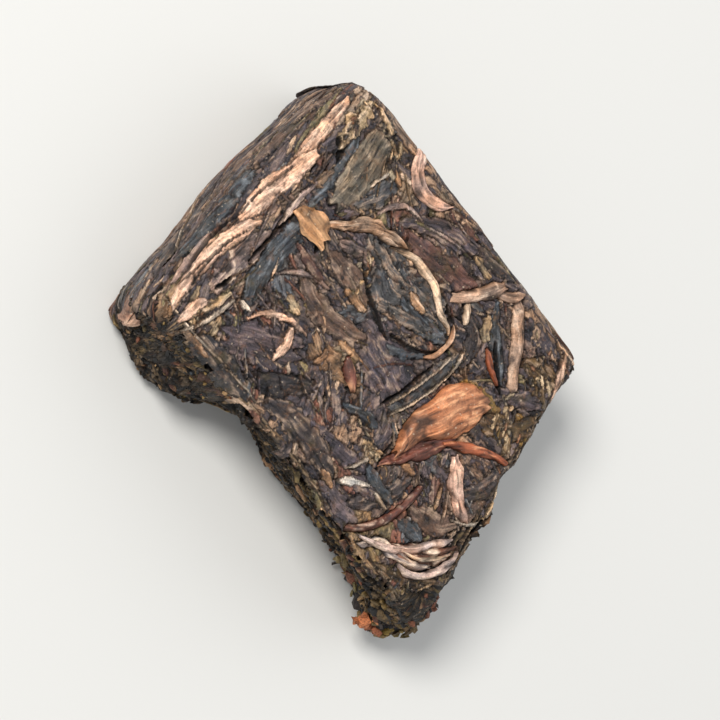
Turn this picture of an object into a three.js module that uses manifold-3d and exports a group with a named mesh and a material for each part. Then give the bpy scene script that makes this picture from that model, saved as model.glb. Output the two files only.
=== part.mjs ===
// A corner piece of a rectangular pu-erh tea cake, broken off by hand. Millimetres, +Z up. It lies on
// its pressed underside, and the origin is the middle of the space that it stands on.
//
// The cake is steamed leaf pressed in a mould, so the piece has two moulded sides: the long rim at -Y,
// which turns over in a broad round, and the flank at -X. The sides at +X and +Y are breaks. There the
// leaf shows in layers, with torn ends, curled shreds and crumbs standing out.
// The body is one closed skin; every blade, stem, shred and crumb that shows is sunk into it and fused.
import * as THREE from "three";
import { mergeVertices } from "three/addons/utils/BufferGeometryUtils.js";
import Module from "manifold-3d";

// ---- driving sizes ----
const THICKNESS = 15;
const LAYER = 4.6; // from one band of standing leaf to the next, up a break
const MIDDLE = { x: -0.5, y: 0.95 }; // of the space the piece stands on, as the outline below is drawn

// The outline at half thickness, anticlockwise from above. Each stop has the round of its corner in
// plan, the round of the edge above it (crown) and below it (foot), how far the side leans out at the
// top and in at the bottom, and how ragged it is there.
const OUTLINE = [
  { x: -21.5, y: -25.2, corner: 5.0, crown: 3.2, foot: 3.6, lean: 0, ragged: 0.12 },
  { x: 14.2, y: -25.2, corner: 0.8, crown: 4.5, foot: 3.2, lean: 0, ragged: 0.22 },
  { x: 16.3, y: -24.0, corner: 1.2, crown: 3.4, foot: 1.6, lean: -0.4, ragged: 0.6 },
  { x: 15.6, y: -14.0, corner: 3.0, crown: 0.8, foot: 1.0, lean: 0, ragged: 1.0 },
  { x: 15.0, y: -4.0, corner: 4.0, crown: 0.8, foot: 1.0, lean: 1.3, ragged: 1.0 },
  { x: 15.6, y: 5.0, corner: 4.0, crown: 0.8, foot: 1.0, lean: 1.8, ragged: 1.0 },
  { x: 17.0, y: 15.5, corner: 4.0, crown: 1.0, foot: 1.2, lean: 1.9, ragged: 1.0 },
  { x: 17.6, y: 25.8, corner: 2.8, crown: 2.0, foot: 1.4, lean: 0.6, ragged: 1.0 },
  { x: 9.0, y: 23.2, corner: 3.0, crown: 1.2, foot: 1.2, lean: 0.2, ragged: 1.0 },
  { x: -2.0, y: 20.8, corner: 3.0, crown: 1.0, foot: 1.2, lean: 0, ragged: 1.0 },
  { x: -17.2, y: 18.3, corner: 1.6, crown: 1.4, foot: 1.6, lean: 0, ragged: 0.8 },
  { x: -18.2, y: 15.6, corner: 1.2, crown: 1.6, foot: 2.0, lean: 0, ragged: 0.35 },
];

// Where the breaks stand out or fall back: the middle of each, how far it reaches, and how far out.
const BREAK_FORMS = [
  { name: "ledge by the rim", x: 16.5, y: -14.4, z: 4.0, reach: 4.8, out: 3.0 },
  { name: "undercut", x: 15.5, y: -5.0, z: 2.5, reach: 4.5, out: -1.7 },
  { name: "toe", x: 15.6, y: 26.2, z: 4.5, reach: 5.0, out: 3.0 },
  { name: "bite under the far edge", x: 4.0, y: 22.5, z: 11.0, reach: 4.5, out: -1.8 },
  { name: "far shelf", x: -7.0, y: 20.5, z: 3.5, reach: 5.5, out: 1.2 },
  { name: "rim swelling", x: -3.0, y: -25.2, z: 8.0, reach: 9.0, out: 0.9 },
  { name: "rim hollow", x: 9.0, y: -25.2, z: 9.0, reach: 6.0, out: -0.5 },
];

// Forms of the pressed top: the middle, the reach and the height of each. The last is torn away.
const TOP_FORMS = [
  { x: 9.5, y: -10.5, reach: 5.0, high: -0.55 },
  { x: -1.0, y: 1.0, reach: 7.0, high: 0.25 },
  { x: 8.5, y: 19.5, reach: 6.0, high: -0.7 },
  { x: -11.5, y: -14.0, reach: 6.0, high: 0.2 },
  { x: -10.0, y: 13.0, reach: 6.0, high: -0.3 },
  { x: 18.0, y: 27.0, reach: 4.4, high: -4.4 },
];

// ---- the mesh of the body ----
const AROUND = 88;
const CAP_ROWS = 5; // rings from the middle of the top to its edge
const ROUND_ROWS = 3; // rings in each rounded edge
const WALL_ROWS = 7; // rings down the side

// ---- leaf sizes ----
const SUNK = 0.7; // how deep a blade's hidden face lies below the pressed surface
const SHORTEST_EDGE = 0.01; // shorter edges close up after joining
const LOWEST_FACE = 0.002; // and so do faces with less height than this
const BLADE_STEPS = 6;
const BLADE_ACROSS = 2;
const STRAND_STEPS = 5;
const LOWEST = 0.15; // nothing that stands out of a break reaches below this

// A small seeded generator, so that every build gives the same piece.
function seeded(seed) {
  let state = seed;
  return () => {
    state = (state + 0x6d2b79f5) | 0;
    let mixed = Math.imul(state ^ (state >>> 15), 1 | state);
    mixed = (mixed + Math.imul(mixed ^ (mixed >>> 7), 61 | mixed)) ^ mixed;
    return ((mixed ^ (mixed >>> 14)) >>> 0) / 4294967296;
  };
}

const between = (random, low, high) => low + (high - low) * random();
const bell = (distance, reach) => Math.exp(-((distance / reach) ** 2));

// Waves that cross: lumps from about -1 to 1, long along the layers of leaf and short across them.
function lumps(x, y, z) {
  const sway = 1.3 * Math.sin(0.31 * x + 0.37 * y) + 0.8 * Math.sin(0.53 * x - 0.47 * y + 2);
  return (
    0.46 * Math.sin((2 * Math.PI * z) / LAYER + sway) +
    0.34 * Math.sin(0.62 * x + 0.55 * y + 0.5 * z + 1.0) +
    0.3 * Math.sin(-0.93 * x + 0.71 * y + 0.9 * z + 2.2) +
    0.2 * Math.sin(1.9 * x + 1.7 * y - 0.8 * z + 0.7)
  );
}

// The outline as a closed path with rounded corners, walked at AROUND even steps. Every step carries
// its outward direction and the crown, foot, lean and raggedness of the nearest stops.
function walkOutline(stops) {
  const corners = stops.map((s) => new THREE.Vector2(s.x, s.y));
  const path = new THREE.Path();
  stops.forEach((stop, i) => {
    const here = corners[i];
    const before = corners.at(i - 1).clone().sub(here).setLength(stop.corner).add(here);
    const after = corners[(i + 1) % stops.length].clone().sub(here).setLength(stop.corner).add(here);
    if (i === 0) path.moveTo(before.x, before.y);
    else path.lineTo(before.x, before.y);
    path.quadraticCurveTo(here.x, here.y, after.x, after.y);
  });
  path.closePath();
  const spots = path.getSpacedPoints(AROUND).slice(0, AROUND);
  return spots.map((at, i) => {
    const ahead = spots[(i + 1) % AROUND];
    const behind = spots.at(i - 1);
    const out = new THREE.Vector2(ahead.y - behind.y, behind.x - ahead.x).normalize();
    let total = 0;
    const kept = { crown: 0, foot: 0, lean: 0, ragged: 0 };
    stops.forEach((stop, j) => {
      const next = stops[(j + 1) % stops.length];
      const span = corners[(j + 1) % stops.length].clone().sub(corners[j]);
      const along = THREE.MathUtils.clamp(at.clone().sub(corners[j]).dot(span) / span.lengthSq(), 0, 1);
      const gap = at.distanceTo(corners[j].clone().addScaledVector(span, along));
      const weight = 1 / (gap ** 3 + 0.02);
      total += weight;
      for (const key of Object.keys(kept)) {
        kept[key] += weight * THREE.MathUtils.lerp(stop[key], next[key], along);
      }
    });
    for (const key of Object.keys(kept)) kept[key] /= total;
    return { at, out, ...kept };
  });
}

const steps = walkOutline(OUTLINE);
const STEP_LENGTH = steps[0].at.distanceTo(steps[1].at);
const nearest = (spot) => {
  const gap = (step) => Math.hypot(step.at.x - spot.x, step.at.y - spot.y);
  return steps.reduce((best, step) => (gap(step) < gap(best) ? step : best));
};

// How far the side stands out from the outline at a step and a height.
function sideOut(step, z) {
  const { x, y } = step.at;
  const calm = Math.min(1, z / 2.5) * Math.min(1, (THICKNESS - z) / 2 + 0.35);
  let out = step.ragged * lumps(x, y, z) * 0.75 * calm + step.lean * ((2 * z) / THICKNESS - 1);
  for (const form of BREAK_FORMS) {
    const away = Math.hypot(x - form.x, y - form.y, (z - form.z) * 0.9);
    out += form.out * bell(away, form.reach);
  }
  return out;
}

// The height of the pressed top.
function topHeight(x, y) {
  let high = THICKNESS + 0.1 * lumps(x * 0.7, y * 0.7, 3);
  for (const form of TOP_FORMS) {
    high += form.high * bell(Math.hypot(x - form.x, y - form.y), form.reach);
  }
  return high;
}

// The point of the body's side at a step, for a height between the underside and the top.
function sidePoint(step, z) {
  const crown = Math.max(0, z - (THICKNESS - step.crown));
  const foot = Math.max(0, step.foot - z);
  let inset = 0;
  if (crown > 0) inset += step.crown - Math.sqrt(Math.max(0, step.crown ** 2 - crown ** 2));
  if (foot > 0) inset += step.foot - Math.sqrt(Math.max(0, step.foot ** 2 - foot ** 2));
  const out = sideOut(step, z) - inset;
  const x = step.at.x + step.out.x * out;
  const y = step.at.y + step.out.y * out;
  return new THREE.Vector3(x, y, (z * topHeight(x, y)) / THICKNESS);
}

// The body: a lathe's closed skin, each of its rings then moved onto the outline.
function bodyGeometry() {
  const rows = [];
  for (let i = 0; i <= CAP_ROWS; i++) rows.push({ kind: "top", share: i / CAP_ROWS });
  for (let i = 1; i <= ROUND_ROWS; i++) rows.push({ kind: "crown", share: i / ROUND_ROWS });
  for (let i = 1; i < WALL_ROWS; i++) rows.push({ kind: "wall", share: i / WALL_ROWS });
  for (let i = ROUND_ROWS; i >= 0; i--) rows.push({ kind: "foot", share: i / ROUND_ROWS });
  rows.push({ kind: "under", share: 0.55 }, { kind: "under", share: 0 });
  const profile = rows.map((row, i) => {
    const onAxis = row.share === 0 && (row.kind === "top" || row.kind === "under");
    return new THREE.Vector2(onAxis ? 0 : 1, rows.length - i);
  });
  const geometry = new THREE.LatheGeometry(profile.reverse(), AROUND);
  rows.reverse();
  const place = geometry.getAttribute("position");
  for (let i = 0; i <= AROUND; i++) {
    const step = steps[i % AROUND];
    rows.forEach((row, j) => {
      const p = bodyPoint(step, row);
      place.setXYZ(i * rows.length + j, p.x, p.y, p.z);
    });
  }
  return geometry;
}

function bodyPoint(step, { kind, share }) {
  if (kind === "top") {
    const edge = sidePoint(step, THICKNESS);
    const x = edge.x * share;
    const y = edge.y * share;
    return new THREE.Vector3(x, y, topHeight(x, y));
  }
  if (kind === "under") {
    const edge = sidePoint(step, 0);
    return new THREE.Vector3(edge.x * share, edge.y * share, 0);
  }
  const wallTop = THICKNESS - step.crown;
  if (kind === "crown") {
    return sidePoint(step, wallTop + step.crown * Math.cos((share * Math.PI) / 2));
  }
  if (kind === "wall") return sidePoint(step, THREE.MathUtils.lerp(wallTop, step.foot, share));
  return sidePoint(step, step.foot * (1 - Math.cos((share * Math.PI) / 2)));
}

// ---- the pressed sheet ----
// Leaf is laid out on a flat sheet and pressed over the moulded edges. Each edge is a straight line on
// the top where the round begins, with its outward direction; beyond it the sheet turns down the side.
const MOULDED = [
  { x: 0, y: -20.7, out: new THREE.Vector2(0, -1), round: 4.5 },
  { x: -17.5, y: -5, out: new THREE.Vector2(-0.994, -0.11), round: 1.7 },
];

// A point of the sheet, and how far off it: where that comes to lie on the piece.
function press(x, y, off) {
  const spot = new THREE.Vector3(x, y, 0);
  const up = new THREE.Vector3(0, 0, 1);
  let drop = 0;
  for (const edge of MOULDED) {
    const beyond = (x - edge.x) * edge.out.x + (y - edge.y) * edge.out.y;
    if (beyond <= 0) continue;
    const turn = Math.min(beyond / edge.round, Math.PI / 2);
    const below = Math.max(0, beyond - (edge.round * Math.PI) / 2);
    const shift = edge.round * Math.sin(turn) - beyond;
    spot.x += edge.out.x * shift;
    spot.y += edge.out.y * shift;
    drop += edge.round * (1 - Math.cos(turn)) + below;
    up.x += edge.out.x * Math.tan(Math.min(turn, 1.45));
    up.y += edge.out.y * Math.tan(Math.min(turn, 1.45));
  }
  up.normalize();
  spot.z = topHeight(spot.x, spot.y) - drop;
  if (drop > 0) {
    const step = nearest(spot);
    const swollen = sideOut(step, spot.z) * Math.min(1, drop / 3);
    spot.x += step.out.x * swollen;
    spot.y += step.out.y * swollen;
  }
  return spot.addScaledVector(up, off);
}

// ---- leaf, stem, shred and crumb ----
// A blade: a thin wavy ribbon on the sheet, bent along an arc, crowned across, with a groove where its
// two halves fold together and ends that die into the surface.
function blade({ x, y, heading, length, width, bend = 0, rise = 0.4, blunt = 0.3, fold = 0.3 }) {
  const geometry = new THREE.BoxGeometry(1, 1, 1, BLADE_STEPS, BLADE_ACROSS, 1);
  const place = geometry.getAttribute("position");
  const turn = THREE.MathUtils.degToRad(heading);
  const arc = THREE.MathUtils.degToRad(bend);
  for (let i = 0; i < place.count; i++) {
    const t = place.getX(i);
    const side = place.getY(i) * 2;
    const upper = place.getZ(i) > 0;
    const taper = Math.max(blunt, Math.cos(t * Math.PI) ** 0.6);
    const reach = Math.abs(arc) < 0.02 ? t * length : (Math.sin(arc * t) * length) / arc;
    const sweep = Math.abs(arc) < 0.02 ? 0 : ((1 - Math.cos(arc * t)) * length) / arc;
    const across = side * 0.5 * width * taper;
    const u = reach - Math.sin(arc * t) * across;
    const v = sweep + Math.cos(arc * t) * across;
    const crowned = 1 - 0.45 * side * side - fold * bell(side - 0.2 * Math.sin(5 * t), 0.3);
    const wavy = 1 + 0.25 * Math.sin(9 * t + x + side);
    const high = 0.08 + rise * crowned * wavy * (1 - (2 * t) ** 6);
    const p = press(
      x + u * Math.cos(turn) - v * Math.sin(turn),
      y + u * Math.sin(turn) + v * Math.cos(turn),
      upper ? high : -SUNK,
    );
    place.setXYZ(i, p.x, p.y, p.z);
  }
  return geometry;
}

// A shred of leaf torn at a break: rooted in the side at a height, pointing out of it, its end narrower.
function shred({ step, z, yaw, pitch, length, width, thick, twist, proud }) {
  const geometry = new THREE.BoxGeometry(length, width, thick, 3, 1, 1);
  const place = geometry.getAttribute("position");
  const root = sidePoint(step, z);
  const outward = Math.atan2(step.out.y, step.out.x);
  const point = new THREE.Vector3();
  const roll = new THREE.Vector3(1, 0, 0);
  const turned = new THREE.Euler(0, -pitch, outward + yaw, "ZYX");
  for (let i = 0; i < place.count; i++) {
    point.fromBufferAttribute(place, i);
    const share = point.x / length + 0.5;
    point.x += 0.25 * point.y * Math.sin(yaw * 7);
    point.y *= 1 - 0.5 * share * share;
    point.z += thick * 0.7 * Math.sin(share * 4 + yaw * 3);
    point.applyAxisAngle(roll, twist * share);
    point.x += proud - length / 2;
    point.applyEuler(turned).add(root);
    place.setXYZ(i, point.x, point.y, Math.max(LOWEST, point.z));
  }
  return geometry;
}

// A strand that lies along a break: a slim ribbon that follows the side, its outer half showing.
function strand({ start, z, climb, length, high, proud }) {
  const geometry = new THREE.BoxGeometry(1, 1, 1, STRAND_STEPS, 1, 1);
  const place = geometry.getAttribute("position");
  for (let i = 0; i < place.count; i++) {
    const share = place.getX(i) + 0.5;
    const outer = place.getY(i) < 0;
    const taper = 0.35 + 0.65 * Math.sin(Math.PI * THREE.MathUtils.clamp(share, 0.08, 0.92));
    const level = z + climb * (share - 0.5) + 0.3 * Math.sin(share * 7 + start);
    const step = steps[Math.round(start + (share * length) / STEP_LENGTH) % AROUND];
    const at = sidePoint(step, THREE.MathUtils.clamp(level, 1.2, THICKNESS - 0.9));
    const off = outer ? proud * taper : -1.1;
    place.setXYZ(
      i,
      at.x + step.out.x * off,
      at.y + step.out.y * off,
      Math.max(LOWEST, at.z + place.getZ(i) * high * taper),
    );
  }
  return geometry;
}

// A crumb: a small faceted lump, half sunk in a break.
function crumb({ step, z, size, squeeze, spin }) {
  const geometry = new THREE.IcosahedronGeometry(size / 2, 0);
  const root = sidePoint(step, z);
  geometry.scale(1, squeeze, 0.75);
  geometry.rotateX(spin);
  geometry.rotateZ(spin * 2);
  geometry.translate(root.x, root.y, Math.max(root.z, size * 0.6));
  return geometry;
}

// ---- the leaf that shows on the pressed top and rim ----
// Headings are degrees anticlockwise from +X, and a positive bend curls to the left of the heading.
const SHOWN = {
  rimStrip: { x: 0.5, y: -23.6, heading: 177, length: 28, width: 2.1, bend: -5, rise: 0.7, blunt: 0.35 },
  rimStripLow: { x: 7, y: -27.6, heading: 176, length: 15, width: 1.8, rise: 0.45 },
  rimFlatLeaf: { x: -6.5, y: -28.2, heading: 181, length: 20, width: 4.2, rise: 0.4 },
  rimFoldLeaf: { x: 9.5, y: -31.5, heading: 184, length: 13, width: 3.4, rise: 0.45 },
  shoulderLeaf: { x: 2.6, y: -19.1, heading: 183, length: 14, width: 3.8, bend: 8, rise: 0.4 },
  shoulderEnd: { x: 11.8, y: -20.4, heading: 170, length: 7, width: 2.2, rise: 0.6 },
  cornerLeaf: { x: -11.6, y: -18.2, heading: 168, length: 12, width: 5.0, bend: -8, rise: 0.45 },
  flake: { x: -3.7, y: -17.4, heading: 60, length: 3.8, width: 3.0, rise: 1.0, blunt: 0.7 },
  hookLeaf: { x: -17.2, y: -8.9, heading: 83, length: 8.2, width: 2.2, bend: 65, rise: 0.7 },
  curlTop: { x: -10.1, y: -10.8, heading: 121, length: 13, width: 1.7, bend: -55, rise: 0.6 },
  curlFar: { x: -9.0, y: 1.3, heading: 49, length: 12.4, width: 1.6, bend: -75, rise: 0.6 },
  curlHeart: { x: -5.7, y: -2.9, heading: 78, length: 13, width: 5.6, bend: -14, rise: 0.5 },
  redLeaf: { x: -13.0, y: -3.4, heading: 112, length: 7.5, width: 3.4, rise: 0.35 },
  paleBar: { x: -14.0, y: 3.1, heading: 146, length: 6.6, width: 1.8, rise: 0.6, blunt: 0.6 },
  paleStem: { x: -12.7, y: 10.7, heading: 38, length: 9.8, width: 1.8, rise: 0.7, blunt: 0.8, fold: 0.1 },
  orangeStick: { x: -8.8, y: 10.0, heading: 48, length: 4.6, width: 0.9, rise: 0.5, blunt: 0.5, fold: 0 },
  orangeLeaf: { x: 0.7, y: 9.6, heading: 162, length: 13, width: 3.9, bend: -14, rise: 0.85, blunt: 0.25 },
  underOrange: { x: 4.2, y: 11.0, heading: 152, length: 9, width: 2.2, bend: 12, rise: 0.5 },
  redStick: { x: -0.3, y: 15.9, heading: 117, length: 7.6, width: 1.1, rise: 0.6, blunt: 0.6, fold: 0.1 },
  paleSplint: { x: 4.1, y: 17.1, heading: 54, length: 8.4, width: 1.4, bend: 16, rise: 0.7 },
  greyFan: { x: 14.2, y: 17.6, heading: 128, length: 12, width: 3.1, bend: 80, rise: 0.75 },
  brownStick: { x: 12.4, y: 11.8, heading: 155, length: 8.6, width: 1.4, bend: -34, rise: 0.6, fold: 0.1 },
  lineLeaf: { x: -0.4, y: 5.3, heading: 161, length: 13, width: 1.6, bend: 24, rise: 0.5 },
  flatLeaf: { x: 3.5, y: 0.6, heading: 60, length: 9.5, width: 6.4, bend: 10, rise: 0.35 },
  loopLeaf: { x: 5.9, y: -12.1, heading: 56, length: 9, width: 1.5, bend: 120, rise: 0.5 },
  dentLeaf: { x: 11.6, y: -12.5, heading: 95, length: 9, width: 3.4, bend: -20, rise: 0.4 },
  longDark: { x: 12.0, y: -0.5, heading: 84, length: 12, width: 3.6, bend: 10, rise: 0.45 },
  crossLeaf: { x: 8.0, y: 4.6, heading: 122, length: 7, width: 2.0, rise: 0.5 },
  rearLeaf: { x: -9.4, y: 15.9, heading: 165, length: 9, width: 2.8, bend: 12, rise: 0.4 },
  farDark: { x: 8.6, y: 15.4, heading: 110, length: 8.6, width: 2.6, bend: -14, rise: 0.5 },
  sideLeaf: { x: -16.6, y: -0.6, heading: 98, length: 8.5, width: 2.4, bend: 10, rise: 0.4 },
  middleLeaf: { x: 0.3, y: -8.6, heading: 34, length: 9, width: 2.8, bend: -20, rise: 0.4 },
  hollowLeaf: { x: 6.6, y: -6.2, heading: 150, length: 8, width: 2.4, bend: 30, rise: 0.4 },
};

// Blades whose ends hang over the edge of a break, as the torn skin of the pressed top does.
const OVERHANGS = {
  byTheRim: { x: 14.0, y: -17.2, heading: 62, length: 7, width: 2.4, bend: 20, rise: 0.35, blunt: 0.5 },
  byTheDent: { x: 14.6, y: -9.4, heading: 96, length: 6.5, width: 2.2, rise: 0.35, blunt: 0.5 },
  byTheLongDark: { x: 15.2, y: -2.6, heading: 82, length: 6, width: 2.0, rise: 0.3, blunt: 0.5 },
  byTheStick: { x: 16.0, y: 6.8, heading: 70, length: 7, width: 2.2, rise: 0.3, blunt: 0.5 },
  atTheToe: { x: 11.6, y: 22.2, heading: 206, length: 7, width: 2.6, rise: 0.35, blunt: 0.5 },
  overTheBite: { x: 4.2, y: 21.2, heading: 196, length: 7.5, width: 2.4, rise: 0.35, blunt: 0.5 },
  overTheShelf: { x: -5.0, y: 19.6, heading: 182, length: 7, width: 2.0, rise: 0.35, blunt: 0.5 },
  atTheFlank: { x: -12.6, y: 17.9, heading: 176, length: 6, width: 2.2, rise: 0.35, blunt: 0.5 },
};

// ---- what stands out of the breaks ----
const SHREDS = 32;
const STRANDS = 13;
const CRUMBS = 10;
const BROKEN_FROM = 0.65; // raggedness above which a side counts as broken
const CORNER_CLEAR = -20; // the corner by the rim stays whole up to here

function brokenSides() {
  const random = seeded(2025);
  const broken = steps.filter((step) => step.ragged > BROKEN_FROM && step.at.y > CORNER_CLEAR);
  const spread = (i, count) => broken[Math.floor(((i + random()) / count) * broken.length)];
  const pieces = [];
  for (let i = 0; i < STRANDS; i++) {
    pieces.push(
      strand({
        start: steps.indexOf(spread(i, STRANDS)) - 3,
        z: 2 + ((i * 4.3) % 11.5),
        climb: between(random, -1.6, 1.6),
        length: between(random, 5, 10),
        high: between(random, 0.9, 1.7),
        proud: between(random, 0.5, 1.1),
      }),
    );
  }
  for (let i = 0; i < SHREDS; i++) {
    pieces.push(
      shred({
        step: spread(i, SHREDS),
        z: 1.2 + ((i * 5 + between(random, 0, 2)) % 13) * 1.02,
        yaw: between(random, -0.9, 0.9),
        pitch: between(random, -0.22, 0.22),
        length: between(random, 4, 6.5),
        width: between(random, 1.8, 4.2),
        thick: between(random, 0.4, 0.7),
        twist: between(random, -0.45, 0.45),
        proud: between(random, 0.5, 1.5),
      }),
    );
  }
  for (let i = 0; i < CRUMBS; i++) {
    pieces.push(
      crumb({
        step: spread(i, CRUMBS),
        z: between(random, 1.2, THICKNESS - 1.4),
        size: between(random, 1.2, 2.3),
        squeeze: between(random, 0.6, 1.3),
        spin: between(random, 0, 3),
      }),
    );
  }
  return pieces;
}

// ---- joining ----
const wasm = await Module();
wasm.setup();

// A closed three.js geometry as a solid: its shared corners merged, and flattened faces left out.
function solid(geometry) {
  geometry.deleteAttribute("normal");
  geometry.deleteAttribute("uv");
  const merged = mergeVertices(geometry, 1e-4);
  const faces = [];
  const corners = merged.index.array;
  for (let i = 0; i < corners.length; i += 3) {
    const [a, b, c] = corners.slice(i, i + 3);
    if (a !== b && b !== c && c !== a) faces.push(a, b, c);
  }
  const mesh = new wasm.Mesh({
    numProp: 3,
    vertProperties: new Float32Array(merged.getAttribute("position").array),
    triVerts: new Uint32Array(faces),
  });
  return new wasm.Manifold(mesh);
}

// Joining leaves a few edges and faces far too small to see. Each pass closes the short edges, and the
// shortest edge of every face that has almost no height, by moving one end onto the other.
function closeSlivers(places, faces) {
  const corner = (i) => new THREE.Vector3().fromArray(places, i * 3);
  const kept = Array.from({ length: places.length / 3 }, (_, i) => i);
  const owner = (i) => {
    while (kept[i] !== i) i = kept[i];
    return i;
  };
  let closed = 0;
  for (let i = 0; i < faces.length; i += 3) {
    const three = [owner(faces[i]), owner(faces[i + 1]), owner(faces[i + 2])];
    const points = three.map(corner);
    const edges = [0, 1, 2].map((k) => ({
      from: three[k],
      to: three[(k + 1) % 3],
      long: points[k].distanceTo(points[(k + 1) % 3]),
    }));
    edges.sort((a, b) => a.long - b.long);
    if (edges[0].long === 0) continue;
    const height = (2 * new THREE.Triangle(...points).getArea()) / edges[2].long;
    if (edges[0].long < SHORTEST_EDGE || height < LOWEST_FACE) {
      kept[edges[0].from] = edges[0].to;
      closed++;
    }
  }
  const left = [];
  for (let i = 0; i < faces.length; i += 3) {
    const [a, b, c] = [owner(faces[i]), owner(faces[i + 1]), owner(faces[i + 2])];
    if (a !== b && b !== c && c !== a) left.push(a, b, c);
  }
  return { faces: left, closed };
}

// The largest body of a solid: its loose scraps and the skins of sealed gaps are dropped.
function largest(joined) {
  return joined.decompose().sort((a, b) => b.volume() - a.volume())[0].getMesh();
}

// Fuses everything into one body.
function fuse(geometries) {
  let mesh = largest(wasm.Manifold.union(geometries.map(solid)));
  for (;;) {
    const { faces, closed } = closeSlivers(mesh.vertProperties, mesh.triVerts);
    if (closed === 0) break;
    const vertProperties = mesh.vertProperties;
    const triVerts = new Uint32Array(faces);
    mesh = largest(new wasm.Manifold(new wasm.Mesh({ numProp: 3, vertProperties, triVerts })));
  }
  const geometry = new THREE.BufferGeometry();
  geometry.setAttribute("position", new THREE.BufferAttribute(mesh.vertProperties, 3));
  geometry.setIndex(new THREE.BufferAttribute(mesh.triVerts, 1));
  geometry.computeVertexNormals();
  return geometry;
}

const blades = [...Object.values(SHOWN), ...Object.values(OVERHANGS)].map(blade);
const teaPiece = new THREE.Mesh(
  fuse([bodyGeometry(), ...blades, ...brokenSides()]),
  new THREE.MeshStandardMaterial({ color: 0x3a302d, roughness: 0.72, metalness: 0 }),
);
teaPiece.name = "tea_piece";
teaPiece.position.set(-MIDDLE.x, -MIDDLE.y, 0);

const root = new THREE.Group();
root.add(teaPiece);
export default root;
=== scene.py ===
import math
import bmesh
import bpy
import numpy as np
from mathutils import Matrix, Vector
from mathutils.bvhtree import BVHTree


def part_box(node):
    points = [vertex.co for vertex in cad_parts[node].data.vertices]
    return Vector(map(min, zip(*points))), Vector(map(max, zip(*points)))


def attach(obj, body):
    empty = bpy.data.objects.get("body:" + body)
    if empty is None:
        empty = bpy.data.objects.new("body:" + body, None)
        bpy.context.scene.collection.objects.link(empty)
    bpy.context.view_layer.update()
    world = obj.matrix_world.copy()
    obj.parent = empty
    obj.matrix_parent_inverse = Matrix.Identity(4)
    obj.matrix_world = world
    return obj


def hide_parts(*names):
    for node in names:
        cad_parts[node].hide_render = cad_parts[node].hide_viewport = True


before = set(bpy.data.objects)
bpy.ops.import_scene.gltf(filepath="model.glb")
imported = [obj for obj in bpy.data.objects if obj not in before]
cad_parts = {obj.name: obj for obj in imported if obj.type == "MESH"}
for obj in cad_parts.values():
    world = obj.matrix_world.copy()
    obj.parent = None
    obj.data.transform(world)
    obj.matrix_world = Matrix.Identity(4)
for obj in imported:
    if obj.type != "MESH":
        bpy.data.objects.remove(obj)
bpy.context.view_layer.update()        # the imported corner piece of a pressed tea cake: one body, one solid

# ---- The heart of the piece ----
# Steamed leaf pressed into a dense dark block. The skin of leaves lies on it, and it shows only as
# the black ground in the gaps between them and at the breaks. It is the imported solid, drawn in.
MM = 0.001              # every size below is in mm, as on the piece
HEART_INSET = 1.2       # how far it lies inside the solid
HEART_COARSE = 0.6      # the voxels that close its surface, and the finer ones that it keeps
HEART_GRAIN = 0.45
HEART_FOOT = 0.5        # how far it stays off the floor
HEART_LUMPS = [         # its lumps: the way each ripple runs, its start and its height
    ((1.9, 0.7, 0.6), 0, 0.28), ((-0.9, 2.1, 1.1), 2, 0.24),
    ((2.9, -2.3, 3.4), 1, 0.2), ((4.7, 4.1, -5.2), 0, 0.14),
]

low, high = (np.array(corner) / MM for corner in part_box("tea_piece"))
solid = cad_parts["tea_piece"]


def new_object(name, data):
    """Puts a new object into the scene."""
    made = bpy.data.objects.new(name, data)
    bpy.context.scene.collection.objects.link(made)
    return made


def settled(made, *modifiers):
    """Puts modifiers on an object in turn and keeps the mesh that they give."""
    for kind, settings in modifiers:
        modifier = made.modifiers.new(kind.title(), kind)
        for key, value in settings.items():
            setattr(modifier, key, value)
    graph = bpy.context.evaluated_depsgraph_get()
    mesh = bpy.data.meshes.new_from_object(made.evaluated_get(graph))
    made.modifiers.clear()
    made.data = mesh
    return made


def waver(random, shape, knots):
    """Smooth random numbers from -1 to 1 on a grid of that shape, with about that many knots each way."""
    grid = random.uniform(-1, 1, [max(2, int(round(k)) + 1) for k in knots])
    for axis, size in enumerate(shape):
        at = np.linspace(0, grid.shape[axis] - 1, size) if size > 1 else np.zeros(1)
        first = np.minimum(at.astype(int), grid.shape[axis] - 2)
        share = at - first
        share = share * share * (3 - 2 * share)
        share = share.reshape([-1 if i == axis else 1 for i in range(len(shape))])
        grid = np.take(grid, first, axis) * (1 - share) + np.take(grid, first + 1, axis) * share
    return grid


heart = new_object("tea_heart", solid.data.copy())
heart = settled(
    heart,
    ("REMESH", {"mode": "VOXEL", "voxel_size": HEART_COARSE * MM}),
    ("SMOOTH", {"factor": 0.5, "iterations": 60}),
    ("REMESH", {"mode": "VOXEL", "voxel_size": HEART_GRAIN * MM, "use_smooth_shade": True}),
)
spots = np.empty(len(heart.data.vertices) * 3)
heart.data.vertices.foreach_get("co", spots)
spots = spots.reshape(-1, 3) / MM
ways = np.empty_like(spots)
heart.data.vertices.foreach_get("normal", ways.reshape(-1))
lump = sum(size * np.sin(spots @ ripple + start) for ripple, start, size in HEART_LUMPS)
spots += ways * (lump - HEART_INSET)[:, None]
spots[:, 2] = np.maximum(spots[:, 2], HEART_FOOT)
heart.data.vertices.foreach_set("co", (spots * MM).reshape(-1))
heart.data.update()


def seen(red, green, blue):
    """A colour as it looks, from 0 to 255 each, turned into the light that a surface gives back."""
    shares = [c / 255 for c in (red, green, blue)]
    return (*[c / 12.92 if c <= 0.04045 else ((c + 0.055) / 1.055) ** 2.4 for c in shares], 1.0)


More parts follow.
